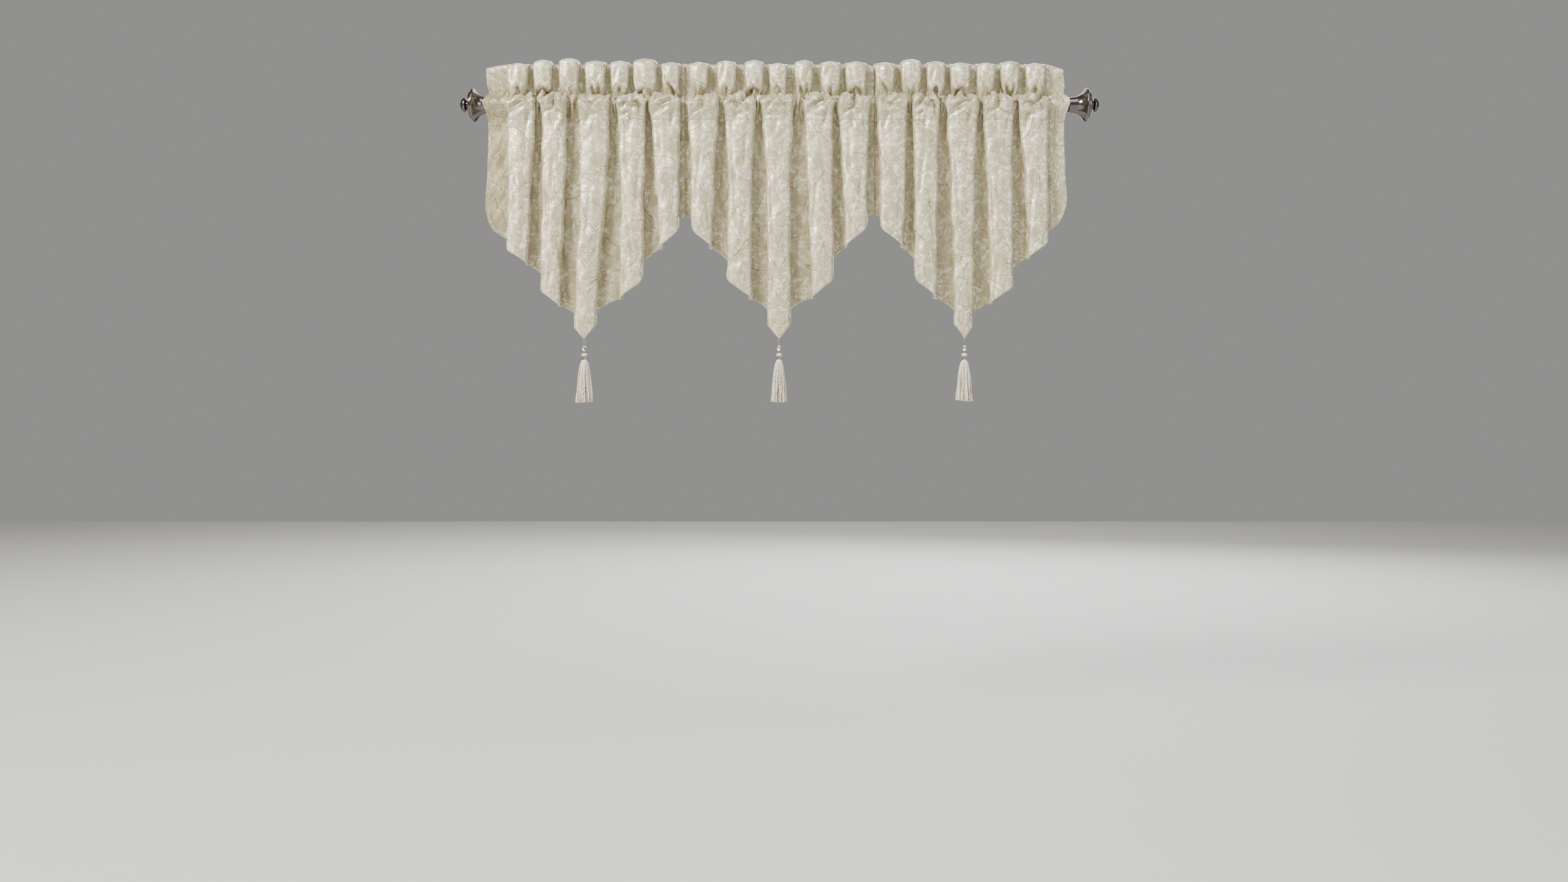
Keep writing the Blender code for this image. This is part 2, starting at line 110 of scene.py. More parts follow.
VALANCES = (
    Valance(
        "left", -619.7, -201.5, -221.0, -495.0, -234.0, "left",
        (
            Fold(-540, 55, -543, 47, -550, 46),
            Fold(-471, 50, -472, 48, -478, 42),
            Fold(-388, 60, -388, 56, -402, 48),
            Fold(-310, 56, -308, 48, -310, 49),
            Fold(-239, 58, -235, 48, -229, 40),
        ),
        (
            Puff(-548, 41, 84), Puff(-496, 36, 91), Puff(-441, 39, 94), Puff(-386, 41, 89),
            Puff(-335, 36, 89), Puff(-282, 46, 93), Puff(-228, 36, 86),
        ),
        77, 87,
    ),
    Valance(
        "centre", -200.5, 195.5, -232.0, -495.0, -228.0, None,
        (
            Fold(-160, 60, -161, 47, -165, 43),
            Fold(-83, 60, -83, 48, -85, 52),
            Fold(-5, 61, -3, 49, -2, 49),
            Fold(80, 57, 84, 51, 89, 48),
            Fold(155, 60, 157, 49, 161, 46),
        ),
        (
            Puff(-170, 37, 86), Puff(-112, 37, 89), Puff(-54, 37, 90), Puff(-4, 36, 84),
            Puff(50, 35, 90), Puff(106, 39, 88), Puff(159, 42, 87),
        ),
        86, 80,
    ),
    Valance(
        "right", 196.5, 605.0, -228.0, -495.0, -200.0, "right",
        (
            Fold(234, 58, 236, 52, 232, 46),
            Fold(305, 52, 305, 47, 304, 47),
            Fold(380, 60, 382, 49, 383, 41),
            Fold(455, 58, 459, 52, 462, 48),
            Fold(529, 58, 536, 47, 540, 44),
        ),
        (
            Puff(220, 38, 86), Puff(274, 39, 92), Puff(326, 36, 88), Puff(377, 40, 85),
            Puff(430, 36, 85), Puff(481, 36, 88), Puff(534, 39, 84),
        ),
        80, 74,
    ),
)
# How much wider the gathers make each fold in the pocket.
PILLOW_SPREAD = 1.08
VALLEY_TOP = 84.0 * MM
# How much lower a puff's top lies on its shoulders than at its middle, in mm.
PUFF_DOME = 2.4
MID_SKIRT = -175.0 * MM
HEM_LEVEL = -360.0 * MM
# The folds' lean from half way down to the hem goes on this far past the hem's own level, as a share.
MOST_LEAN = 1.3

# Levels of the cloth, in mm. A skirt level lies at a share of the way from the hem up to the pocket seam.
# The others lie at a height over the pole's axis, or at a drop below the heading's top where height is None.
# plane is the valleys' distance behind (+) or before (-) the axis, and stand_out that of the crowns from it.
# heading is the share of the heading's seven puffs in the waves, and the rest is the skirt's five folds.
# rows is how many rows of the sheet's grid lie from this level to the next.
SkirtLevel = namedtuple("SkirtLevel", "share plane stand_out rows")
SKIRT_LEVELS = (
    SkirtLevel(0.0, -5.0, 29, 25),
    SkirtLevel(0.30, -4.6, 29, 23),
    SkirtLevel(0.57, -4.6, 28, 21),
    SkirtLevel(0.82, -4.5, 27, 15),
)
Level = namedtuple("Level", "height drop plane stand_out heading puff_width rows")
SEAM_HEIGHT = -38.0
SEAM_PLANE = -4.5
UPPER_LEVELS = (
    Level(SEAM_HEIGHT, 0, SEAM_PLANE, 26, 0.0, 1.0, 9),
    Level(-13, 0, -13.6, 25, 0.0, 1.0, 5),
    Level(0, 0, -17.2, 25, 0.0, 1.0, 6),
    Level(11.9, 0, -11.4, 17, 0.2, 0.9, 6),
    Level(18.4, 0, -2.6, 9, 0.7, 0.64, 6),
    Level(33, 0, -3.2, 21, 1.0, 0.92, 11),
    Level(None, 7, -3.2, 22, 1.0, 1.06, 4),
    Level(None, 0, 0.4, 9, 1.0, 1.0, 3),
    Level(None, 7, 4.0, -7, 1.0, 1.0, 5),
    Level(16.1, 0, 2.4, -5, 0.7, 0.72, 2),
    Level(11.9, 0, 11.9, -6, 0.2, 0.9, 3),
    Level(0, 0, 17.2, -7, 0.0, 1.0, 2),
    Level(-13, 0, 13.6, -8, 0.0, 1.0, 3),
    Level(SEAM_HEIGHT, 0, SEAM_PLANE + SEAM_GAP / MM, -6, 0.0, 1.0, 1),
    Level(SEAM_HEIGHT - 6, 0, SEAM_PLANE + SEAM_GAP / MM, -6, 0.0, 1.0, 0),
)
# Places in the list of levels: the pocket's seam, the pinch over the pole, and the heading's top edge.
SEAM_LEVEL = len(SKIRT_LEVELS)
PINCH_LEVEL = SEAM_LEVEL + 4
TOP_LEVEL = SEAM_LEVEL + 7

# A crease as a soft trough (-) or ridge (+), in mm: where its middle lies from the middle of its fold or puff
# and over the pole's axis, how many degrees its top leans to the right, its half length, half width and rise.
Crease = namedtuple("Crease", "aside height lean long wide rise")

# Puckers at the foot of a puff. The puffs take these sets in turn, every other one mirrored.
PUFF_CREASES = (
    (
        Crease(0, 26, 0, 8, 4.6, -8.5), Crease(-9, 28, -20, 11, 3.4, 3.0), Crease(9, 28, 22, 11, 3.4, 3.0),
        Crease(0, 37, 90, 8, 4.0, 2.4), Crease(-6, 62, 16, 20, 5.5, -1.8), Crease(10, 52, -8, 24, 4.0, -1.6),
    ),
    (
        Crease(-5, 26, 42, 12, 3.6, -7.0), Crease(7, 24, -48, 11, 3.6, -6.4), Crease(0, 34, 90, 12, 4.0, 3.4),
        Crease(8, 60, 14, 20, 4.6, -2.0), Crease(-10, 46, 6, 20, 3.6, -1.8),
    ),
    (
        Crease(-5, 36, -34, 12, 3.8, -7.5), Crease(4, 25, -30, 10, 3.2, -6.0),
        Crease(-11, 40, -30, 10, 3.2, 2.6), Crease(6, 34, -34, 12, 4.0, 2.6),
        Crease(7, 66, -12, 20, 5.0, -1.6), Crease(-11, 68, 5, 18, 4.0, -1.4),
    ),
    (
        Crease(6, 27, 26, 12, 4.0, -7.5), Crease(-6, 25, -16, 11, 3.4, -5.5), Crease(0, 32, 10, 9, 3.2, 3.0),
        Crease(-7, 58, -26, 19, 4.6, -2.0), Crease(10, 66, 8, 16, 4.0, -1.6),
    ),
)
# Gathers on the pillow of each fold round the pole, taken in turn, every other one mirrored.
PILLOW_CREASES = (
    (
        Crease(0, -4, 56, 24, 5.0, -7.0), Crease(-6, -17, 64, 20, 4.2, -4.2),
        Crease(-3, -10, 60, 20, 3.2, 2.2), Crease(14, 6, -24, 12, 3.6, -5.0),
        Crease(15, -34, 12, 20, 4.6, -3.2), Crease(-18, 8, 24, 10, 3.4, -4.0),
        Crease(-8, -37, -10, 16, 5.0, 2.4),
    ),
    (
        Crease(0, 3, -6, 16, 4.8, -8.0), Crease(-12, 4, 14, 12, 4.8, 2.6), Crease(12, 3, -18, 12, 4.8, 2.6),
        Crease(10, -17, -58, 15, 4.6, -4.0), Crease(-11, -23, 68, 15, 4.4, -3.4),
        Crease(19, 0, -8, 14, 3.6, -3.6), Crease(4, -38, 6, 16, 4.6, -3.0),
        Crease(-15, -36, -8, 16, 4.2, 2.2),
    ),
    (
        Crease(-6, -8, -52, 20, 5.6, -6.8), Crease(9, 4, 38, 15, 3.6, -5.0),
        Crease(3, 11, 84, 13, 3.8, 3.0), Crease(15, -9, -32, 18, 2.8, -3.2),
        Crease(-17, 5, 16, 13, 3.6, -4.6), Crease(4, -25, 74, 18, 4.6, -2.4),
        Crease(-13, -36, 14, 18, 4.4, -3.2), Crease(10, -40, -5, 16, 5.0, 2.2),
    ),
    (
        Crease(-11, 2, 30, 18, 4.2, -6.4), Crease(11, 1, -34, 18, 4.2, -6.4),
        Crease(0, -12, 86, 14, 5.0, -3.4), Crease(0, 5, 0, 12, 4.8, 2.4),
        Crease(-19, -16, 6, 15, 4.0, -2.8), Crease(12, -25, -66, 14, 4.2, -2.6),
        Crease(1, -38, -8, 18, 4.4, -2.8), Crease(17, -36, 5, 14, 4.2, 2.2),
    ),
)
# Soft dents down the skirt's folds, taken in turn, every other one mirrored.
SKIRT_CREASES = (
    (
        Crease(11, -95, 3, 48, 4.2, -2.4), Crease(-12, -176, -4, 66, 4.6, -2.6),
        Crease(4, -128, 58, 18, 9, -1.8), Crease(6, -262, 8, 60, 5.0, -2.2),
        Crease(-6, -330, 46, 22, 10, -1.8), Crease(13, -380, -4, 60, 4.6, -2.2),
    ),
    (
        Crease(-13, -84, -5, 40, 4.2, -2.4), Crease(2, -150, -3, 56, 5.5, -2.0),
        Crease(14, -216, 3, 70, 4.4, -2.8), Crease(-5, -205, -52, 20, 10, -1.9),
        Crease(-13, -300, 5, 58, 4.8, -2.4), Crease(5, -352, -8, 56, 5.2, -2.0),
    ),
    (
        Crease(-6, -70, 40, 18, 7, -2.0), Crease(9, -140, -6, 60, 4.6, -2.4),
        Crease(-11, -232, 5, 74, 4.4, -2.6), Crease(8, -290, 50, 22, 10, -1.9),
        Crease(14, -345, 2, 58, 4.6, -2.2), Crease(-3, -405, 4, 50, 5.4, -2.0),
    ),
)
# The narrow pleat bunched into each valley round the pole, from the valley's middle.
VALLEY_PLEATS = (
    (Crease(-2, -7, 9, 18, 2.8, 9.0), Crease(3, 8, -22, 11, 2.4, 6.0)),
    (Crease(1, -5, -11, 20, 3.0, 10.0), Crease(-3, 10, 26, 10, 2.4, 5.0)),
    (Crease(3, -9, -8, 17, 2.8, 8.0), Crease(-3, 5, 18, 12, 2.6, 6.5)),
)
# How far the pinch rises over the pillows' crowns and sinks between them, and its half height, in mm.
PINCH_DOME, PINCH_DOME_REACH = 7.0, 17.0
# How far a puff's foot hangs down over the pinch.
PUFF_HANG = 7.0
# An uneven wave of the pinch's height along the cloth: its length, and its rise in mm.
PINCH_WAVE, PINCH_WAVE_RISE = 33.0 * MM, 3.2
# How far these waves and the ruches bunch up along the cloth, and in how many radians to the metre.
PINCH_BUNCHED, RUCHE_BUNCHED = (0.3, 37), (1.6, 61)
# How far a free side edge draws in towards the cloth at each height, in mm, lowest first.
EDGE_DRAW_HEIGHTS = (-250, -200, -150, -60, -23, 3, 19, 41, 75, 100)
EDGE_DRAW_DEPTHS = (1.5, 2.0, 5.0, 8.0, 6.0, -1.8, 9.0, 5.0, 3.0, 3.0)
# How far in from a free edge the cloth is drawn, in widths of its edge strip.
EDGE_DRAW_REACH = 1.3
# The right edge's heading leans in by this much more, in mm, from the first of these heights to the second.
RIGHT_TOP_DRAW, RIGHT_TOP_REACH = 6.0, (26.0, 70.0)
# Where two valances meet, one's edge laps over the other's: this far aside, and this far forward or back.
LAP_ASIDE, LAP_APART = 2.4, 1.6
LAP_SHARE = 0.035
# How much deeper the creases of the pillows and the puffs are than their tables say.
PILLOW_DEPTH, PUFF_DEPTH = 1.6, 1.25
# How the creases' depths differ from one fold or puff to the next.
CREASE_STEP = 2.4
CREASE_UNEVEN = 0.3
# The share of their depth that creases keep at the hem, and how far above it they are whole, in mm.
CREASE_AT_HEM, CREASE_FULL_FROM = 0.35, 45.0
# How far short of the heading's top the creases fade, in mm.
TOP_FADE = 12.0
# Half the height over which the heading's puffs take over from the folds, and how far over and under the
# pocket's seam the skirt's wandering begins and is whole, in mm.
HEADING_FADE, POCKET_FADE = 5, (8, 22)

# Fine ruches at the pinch: the band's middle and half height in mm, the cloth in each, and its rise in mm.
RUCHE_MIDDLE, RUCHE_BAND = 15.0, 11.0
RUCHE_CLOTH = 13.6 * MM
RUCHE_RISE = 0.8

# Slow waves by which the cloth wanders: turns to a metre across and down, a shift, and a share of the whole.
Wander = namedtuple("Wander", "across down shift share")
EDGE_WANDER = (
    Wander(9.3, 7.1, 0.4, 0.42), Wander(-15.7, 10.9, 2.1, 0.26),
    Wander(23.9, 5.3, 4.4, 0.20), Wander(5.9, -17.3, 1.3, 0.12),
)
DEPTH_WANDER = (
    Wander(13.1, 5.9, 3.1, 0.40), Wander(-8.7, 12.7, 0.9, 0.30),
    Wander(29.3, 17.9, 5.2, 0.18), Wander(-37.1, 24.7, 2.6, 0.12),
)
EDGE_WANDER_MOST = 1.4 * MM
DEPTH_WANDER_MOST = 1.8 * MM

# How the hem climbs away from its point: waves of cloth from the point's crown, and waves' worth of climb. It
# climbs over each crown and through each valley, steeply beside the valley, and is level or sinks a little up
# the next fold's near wall. The last fold's outer corner is round.
HEM_CLIMB = (
    (0.0, 0.0), (0.14, 0.22), (0.24, 0.30), (0.35, 0.52), (0.65, 0.76), (0.76, 0.73), (0.86, 0.79),
    (1.0, 0.92), (1.14, 1.05), (1.24, 1.20), (1.35, 1.40), (1.65, 1.68), (1.76, 1.65), (1.86, 1.72),
    (2.0, 1.84), (2.14, 1.97), (2.24, 2.11), (2.35, 2.20), (2.53, 2.32), (2.66, 2.43), (2.75, 2.61),
    (2.82, 2.90),
)

# Sizes of the cloth's hem and seams, in mm: the facing's height, the pale edge, and the depth and width of
# the groove at the pocket's seam and of the hem's curl.
HEM_FACING = 62.0
HEM_EDGE = 2.4
SEAM_GROOVE, SEAM_GROOVE_WIDE = 0.6, 2.0
HEM_CURL, HEM_CURL_REACH = 1.0, 14.0

# Painted shade on the cloth's colour: deep in the valleys, on a fold's walls, about where they stand out
# by this share, in creases' troughs down to this depth in mm, and more in those at the pinch. The left edge
# strip has more painted shade, and the right one is painted lighter.
WALL_SHADE, WALL_SHADE_AT, WALL_SHADE_WIDE = 0.42, 0.28, 0.20
TROUGH_SHADE, PINCH_SHADE, DARKEST_TROUGH = 0.55, 1.1, 8.0
STRIP_SHADE = {"left": 0.35, "right": -0.6}
SHADE_POWER, MOST_SHADE = 1.5, 1.4

# The jacquard's repeat, and how far up the cloth's own map the pocket's seam lies.
REPEAT_ACROSS = 206.0 * MM
REPEAT_ALONG = 236.0 * MM
SEAM_ON_MAP = 480.0 * MM
# How far the repeat is shifted from one valance to the next.
REPEAT_SHIFT = 61.0 * MM

# A leaf, paisley or lobe of the jacquard, in mm: its middle on the repeat, turn in degrees, half length,
# half width, how far its middle bends aside, and the powers that shape its tip and its root: 1 is pointed,
# 0.5 round.
Motif = namedtuple("Motif", "across along turn long wide bend tip root")
LARGE_MOTIFS = (
    Motif(34, 42, 24, 39, 17, 9, 1.1, 0.6),
    Motif(120, 66, -38, 42, 18, -11, 1.0, 0.55),
    Motif(182, 22, 68, 34, 15, 7, 1.2, 0.6),
    Motif(70, 138, -62, 38, 16, -9, 1.0, 0.9),
    Motif(164, 132, 14, 40, 17, 10, 1.1, 0.55),
    Motif(24, 200, -18, 38, 17, -8, 1.1, 0.6),
    Motif(112, 204, 52, 36, 16, 9, 1.0, 0.6),
)
MEDIUM_MOTIFS = (
    Motif(66, 16, -14, 31, 13, 6, 1.0, 1.0),
    Motif(92, 96, 20, 33, 13, -7, 1.0, 0.8),
    Motif(14, 100, 62, 32, 14, 8, 1.0, 1.0),
    Motif(150, 88, -72, 30, 12, 6, 1.0, 1.0),
    Motif(196, 170, -34, 33, 14, -7, 1.0, 0.9),
    Motif(74, 190, 8, 31, 13, 7, 1.0, 1.0),
    Motif(150, 226, -22, 32, 13, -6, 1.0, 0.9),
    Motif(118, 150, 84, 28, 12, 5, 1.0, 1.0),
)
SMALL_MOTIFS = (
    Motif(8, 14, 0, 13, 13, 0, 0.5, 0.5),
    Motif(58, 74, 0, 15, 15, 0, 0.5, 0.5),
    Motif(96, 30, 30, 19, 11, 3, 0.6, 0.6),
    Motif(196, 88, 0, 16, 16, 0, 0.5, 0.5),
    Motif(140, 24, 0, 12, 12, 0, 0.5, 0.5),
    Motif(38, 152, 0, 14, 14, 0, 0.5, 0.5),
    Motif(128, 112, 0, 13, 13, 0, 0.5, 0.5),
    Motif(186, 210, 60, 18, 11, 3, 0.6, 0.6),
    Motif(84, 228, 0, 13, 13, 0, 0.5, 0.5),
    Motif(148, 176, 0, 15, 15, 0, 0.5, 0.5),
)
# The plume over each point, from the point: pairs of leaves up its middle, and one round medallion.
PLUME_MOTIFS = (
    Motif(0, 44, 0, 15, 15, 0, 0.5, 0.5),
    Motif(-15, 92, 32, 30, 12, 6, 1.0, 0.8),
    Motif(15, 92, -32, 30, 12, -6, 1.0, 0.8),
    Motif(-16, 150, 30, 32, 13, 7, 1.0, 0.8),
    Motif(16, 150, -30, 32, 13, -7, 1.0, 0.8),
    Motif(-15, 210, 28, 31, 12, 6, 1.0, 0.8),
    Motif(15, 210, -28, 31, 12, -6, 1.0, 0.8),
)
FAR_AWAY = 1000.0
# Slow waves that pull the leaves out of true, and how far, in mm.
LEAF_WARP_ASIDE = (
    Wander(13.7, 8.9, 0.3, 0.45), Wander(-9.1, 17.3, 2.7, 0.35), Wander(29.3, -21.1, 4.1, 0.20),
)
LEAF_WARP_AHEAD = (
    Wander(9.7, -14.9, 1.9, 0.45), Wander(17.9, 11.3, 5.1, 0.35), Wander(-25.7, 27.1, 0.8, 0.20),
)
LEAF_WARP_MOST = 5.0

# The lines of the weave: half width in mm and strength of the outline of a large, a medium and a small
# leaf, of a second line inside a large leaf, and of its middle rib.
WeaveLine = namedtuple("WeaveLine", "half_wide strength")
LARGE_LINE, MEDIUM_LINE, SMALL_LINE = WeaveLine(1.8, 1.0), WeaveLine(1.7, 0.85), WeaveLine(1.5, 0.75)
INNER_LINE, RIB_LINE = WeaveLine(1.0, 0.5), WeaveLine(0.8, 0.35)
# How far inside their leaves that second line and the bright lines lie, in mm.
INNER_LINE_IN, LARGE_GLINT_IN, MEDIUM_GLINT_IN = 5.6, 2.8, 2.6
# The inner share of a line's half width that has its full strength.
LINE_CORE = 0.25
# The share of satin weave on the ground, in each size of leaf, and in the heart of a large one.
Satin = namedtuple("Satin", "ground small medium large heart")
SATIN = Satin(0.30, 0.75, 0.12, 0.92, 0.30)
# Half widths in mm of the lines at the facing's and the pocket's seams, and of the painted shadow line and
# the stitches at the pinch.
FACING_LINE, SEAM_LINE, PINCH_SHADOW_LINE, PINCH_STITCHES = 1.2, 1.5, 5.0, 1.3
# Turns to the metre of the twill and of the satin's dots, and the ways across the two rows of dots.
TWILL_TURNS, DOT_TURNS = 400.0, 270.0
DOT_ROWS = ((1.0, 0.35, 0.0), (-0.45, 1.0, 0.0))
# The metal thread: scales of its clusters and of its threads, its threshold and its bundles' strength, and
# its two slants, each a turn in radians and a shift.
FOIL_CLUSTERS, FOIL_THREADS, FOIL_THRESHOLD, FOIL_BUNDLE = 104.0, 640.0, 0.68, 3.2
FOIL_SLANTS = ((0.75, 0.0), (-0.6, 7.0))
# How the nodes of a material are laid out in the editor.
NODES_A_ROW, NODE_WIDE, NODE_TALL = 9, 220, 260

# Driving sizes of a tassel drop, from the point of the hem down.
WIRE_RADIUS = 0.55 * MM
LINK_WIRE, LINK_HALF_WIDE = 0.42 * MM, 1.9 * MM
# The radius that the eye's tail and the link's core are wound at, and the core's wire.
TAIL_RADIUS, CORE_RADIUS, CORE_WIRE = 0.8 * MM, 0.55 * MM, 0.36 * MM
# How far round its height each ring is turned, in radians.
EYE_TURNED, LINK_TURNED = 0.5, 1.3
EYE_POINTS, WIRE_SIDES = 40, 10
EYE_LOOP_SHARE = 0.72
WRAP_TURNS = 3
CRYSTAL_SIDES = 9
# A crystal's rings of corners from its top down: share of its height, and of its radius.
CRYSTAL_RINGS = ((0.0, 0.26), (0.07, 0.52), (0.27, 0.9), (0.5, 1.0), (0.73, 0.9), (0.93, 0.52), (1.0, 0.26))
RONDELLE_LOBES, RONDELLE_LOBE_DEPTH = 9, 0.09
# A sleeve's outline from its foot up: share of its height, and of its radius.
SLEEVE_OUTLINE = (
    (0.0, 0.80), (0.0, 0.97), (0.04, 1.0), (0.13, 1.0), (0.18, 0.95), (0.22, 0.88), (0.30, 0.87),
    (0.60, 0.85), (0.68, 0.87), (0.72, 0.93), (0.80, 0.94), (0.86, 0.88), (0.95, 0.74), (1.0, 0.5),
    (1.0, 0.0),
)
SLEEVE_MILLING, SLEEVE_MILLS, SLEEVE_RIM = 0.025, 26, 0.92
TASSEL_HEAD_TALL = 5.0 * MM
TASSEL_HEAD_RADIUS = 5.9 * MM
HEAD_OUTLINE = ((0.0, 0.0), (0.0, 0.82), (-0.2, 0.92), (-0.55, 1.0), (-0.9, 1.0), (-1.0, 0.9), (-1.0, 0.0))
HEAD_SIDES, HEAD_TINT = 48, 0.25
GOLDEN_ANGLE = 2.39996
STRAND_FLARE = 0.5
STRAND_SWAY, STRAND_DRAW_IN = 1.5 * MM, 0.7 * MM
STRAND_CRINKLE, CRINKLE_TURNS = 0.42 * MM, 8.5
STRAND_UNEVEN = 3.0 * MM
STRAND_ROWS, STRAND_SIDES = 30, 5
YARN_TWIST = 2.6 * MM
# Clumps round a tassel, how far each draws its strands together, and how much painted shade darkens
# the inner strands.
CLUMPS, CLUMP_DRAW, INNER_PAINTED_SHADE = 11, 0.7, 0.5

# The camera's place and lens, and the floor and lights round the object.
CAMERA_PLACE = (0.0087, -2.8, -0.7066)
CAMERA_LENS = 30.57
FLOOR_HEIGHT = -1.42
FLOOR_HALF_WIDE = 9.0
Lamp = namedtuple("Lamp", "name place aim wide power colour")
LAMPS = (
    Lamp("key light", (-4.4, -4.3, 3.0), (0.0, 0.0, -0.22), 1.7, 1.0, (1.0, 0.98, 0.95)),
    Lamp("fill light", (4.4, -5.4, 0.6), (0.0, 0.0, -0.25), 3.0, 0.15, (0.97, 0.985, 1.0)),
    Lamp("top light", (0.6, -3.0, 3.8), (0.0, 0.0, -0.1), 3.4, 0.17, (0.90, 0.94, 1.0)),
    Lamp("rear light", (1.4, 4.8, 2.2), (0.0, 0.6, -0.6), 4.0, 0.40, (1.0, 1.0, 1.0)),
    Lamp("floor light", (0.0, 5.0, 4.0), (0.0, 5.5, -1.4), 5.0, 0.30, (1.0, 1.0, 1.0)),
)


def colour_property(name, description, default):
    """One colour of a group of settings."""
    return bpy.props.FloatVectorProperty(
        name=name, description=description, default=default, subtype="COLOR", min=0.0, max=1.0
    )


class ClothSettings(bpy.types.PropertyGroup):
    """Sizes and colours of the gathered cloth."""

    thickness: bpy.props.FloatProperty(
        name="Thickness", description="Thickness of the cloth", default=1.2 * MM, min=0.5 * MM, unit="LENGTH"
    )
    columns: bpy.props.IntProperty(
        name="Columns", description="Columns of the sheet's grid across the flat cloth", default=320, min=60
    )
    crease_depth: bpy.props.FloatProperty(
        name="Crease depth", description="Depth of all creases against their own", default=1.0, min=0.0,
        subtype="FACTOR",
    )
    matte_colour: colour_property("Ground", "Colour of the foil-woven ground", (0.56, 0.502, 0.305))
    satin_colour: colour_property("Satin weave", "Colour of the satin leaves", (0.55, 0.492, 0.303))
    outline_colour: colour_property("Outlines", "Colour of the leaves' outlines", (0.33, 0.272, 0.160))
    # Painted shade: the colour that the cloth is multiplied towards deep in its valleys, on fold walls and in
    # creases' troughs.
    valley_painted_shade: colour_property(
        "Valley tint", "Tint of the cloth deep between two folds", (0.62, 0.58, 0.49)
    )
    fleck_colour: colour_property("Metal thread", "Colour of the glittering flecks", (0.95, 0.92, 0.80))


class PoleSettings(bpy.types.PropertyGroup):
    """Sides and colour of the pole and its finials."""

    sides: bpy.props.IntProperty(name="Sides", description="Sides of a turned piece", default=72, min=16)
    metal_colour: colour_property("Pewter", "Colour of the pole's metal", (0.165, 0.148, 0.144))
    groove_colour: colour_property("Grooves", "Colour of the metal in its grooves", (0.05, 0.042, 0.038))


class DropSettings(bpy.types.PropertyGroup):
    """Sizes and colours of the wire, bead and tassel drops."""

    strands: bpy.props.IntProperty(name="Strands", description="Strands in a tassel", default=270, min=36)
    yarn_radius: bpy.props.FloatProperty(
        name="Yarn", description="Radius of one strand", default=0.72 * MM, min=0.2 * MM, unit="LENGTH"
    )
    light_yarn: colour_property("Light yarn", "Colour of the light strands", (1.0, 0.92, 0.72))
    # Also the colour of the painted shade inside the tassel and between its clumps.
    dark_yarn_and_shade: colour_property("Dark yarn", "Colour of the taupe strands", (0.27, 0.195, 0.12))
    silver_colour: colour_property("Silver", "Colour of the wires and sleeves", (0.50, 0.45, 0.385))
    crystal_colour: colour_property("Crystal", "Colour of the cut beads", (0.93, 0.81, 0.62))
    pearl_colour: colour_property("Pearl", "Colour of the rondelles", (0.79, 0.73, 0.61))


class StageSettings(bpy.types.PropertyGroup):
    """Light and floor round the object."""

    light_power: bpy.props.FloatProperty(
        name="Light", description="Power of the key light", default=820.0, min=0.0, unit="POWER"
    )
    surround_strength: bpy.props.FloatProperty(
        name="Surround", description="Strength of the even light all round", default=0.50, min=0.0
    )
    floor_colour: colour_property("Floor", "Colour of the floor", (0.62, 0.61, 0.59))
    surround_colour: colour_property("Surround colour", "Colour of the even light", (0.60, 0.595, 0.585))


# Node helpers


class Output:
    """One output of a node. Sums, differences and products with it add math nodes to its tree."""

    def __init__(self, socket):
        self.socket = socket
        self.tree = socket.id_data

    def maths(self, operation, *values):
        made = add_node(self.tree, "ShaderNodeMath", dict(enumerate(values)), operation=operation)
        return Output(made.outputs[0])

    def __add__(self, other):
        return self.maths("ADD", self, other)

    def __sub__(self, other):
        return self.maths("SUBTRACT", self, other)

    def __rsub__(self, other):
        return self.maths("SUBTRACT", other, self)

    def __mul__(self, other):
        return self.maths("MULTIPLY", self, other)


def add_node(tree, kind, inputs=None, **settings):
    """Adds a node with these settings. Each input, by its name or place, is a value or an Output."""
    made = tree.nodes.new(kind)
    row, column = divmod(len(tree.nodes), NODES_A_ROW)
    made.location = (NODE_WIDE * column, -NODE_TALL * row)
    for key, value in settings.items():
        setattr(made, key, value)
    for key, value in (inputs or {}).items():
        if isinstance(value, Output):
            tree.links.new(value.socket, made.inputs[key])
        else:
            made.inputs[key].default_value = value
    return made


def outputs_of(node):
    """The outputs of a node by name."""
    return {socket.name: Output(socket) for socket in node.outputs}


def link(inputs, **values):
    """Links each Output to the input of its name, with _ for a space."""
    for name, value in values.items():
        value.tree.links.new(value.socket, inputs[name.replace("_", " ")])


def largest(first, *others):
    """The largest of several outputs."""
    for other in others:
        first = first.maths("MAXIMUM", first, other)
    return first


def sine(value):
    """The sine of an output in radians."""
    return value.maths("SINE", value)


def vector_maths(operation, vector, other, place=1, output="Vector"):
    """Vector maths of two values. place is the place or name of the second one's input."""
    made = add_node(vector.tree, "ShaderNodeVectorMath", {0: vector, place: other}, operation=operation)
    return Output(made.outputs[output])


def along_way(vector, way):
    """How far a place lies along a direction, as the dot product of the two."""
    return vector_maths("DOT_PRODUCT", vector, way, output="Value")


def scaled(colour, share):
    """A colour times a share."""
    return vector_maths("SCALE", colour, share, "Scale")


def split(vector):
    """The three parts of a vector."""
    made = add_node(vector.tree, "ShaderNodeSeparateXYZ", {"Vector": vector})
    return [Output(socket) for socket in made.outputs]


def step_between(value, start, end):
    """0 up to start, 1 from end on, and a smooth rise between."""
    given = {"Value": value, "From Min": start, "From Max": end}
    made = add_node(value.tree, "ShaderNodeMapRange", given, interpolation_type="SMOOTHSTEP")
    return Output(made.outputs["Result"])


def line_at(distance, half_wide):
    """1 where the distance is nought, and nought from half_wide away on."""
    away = distance.maths("ABSOLUTE", distance)
    return step_between(away, half_wide, half_wide * LINE_CORE)


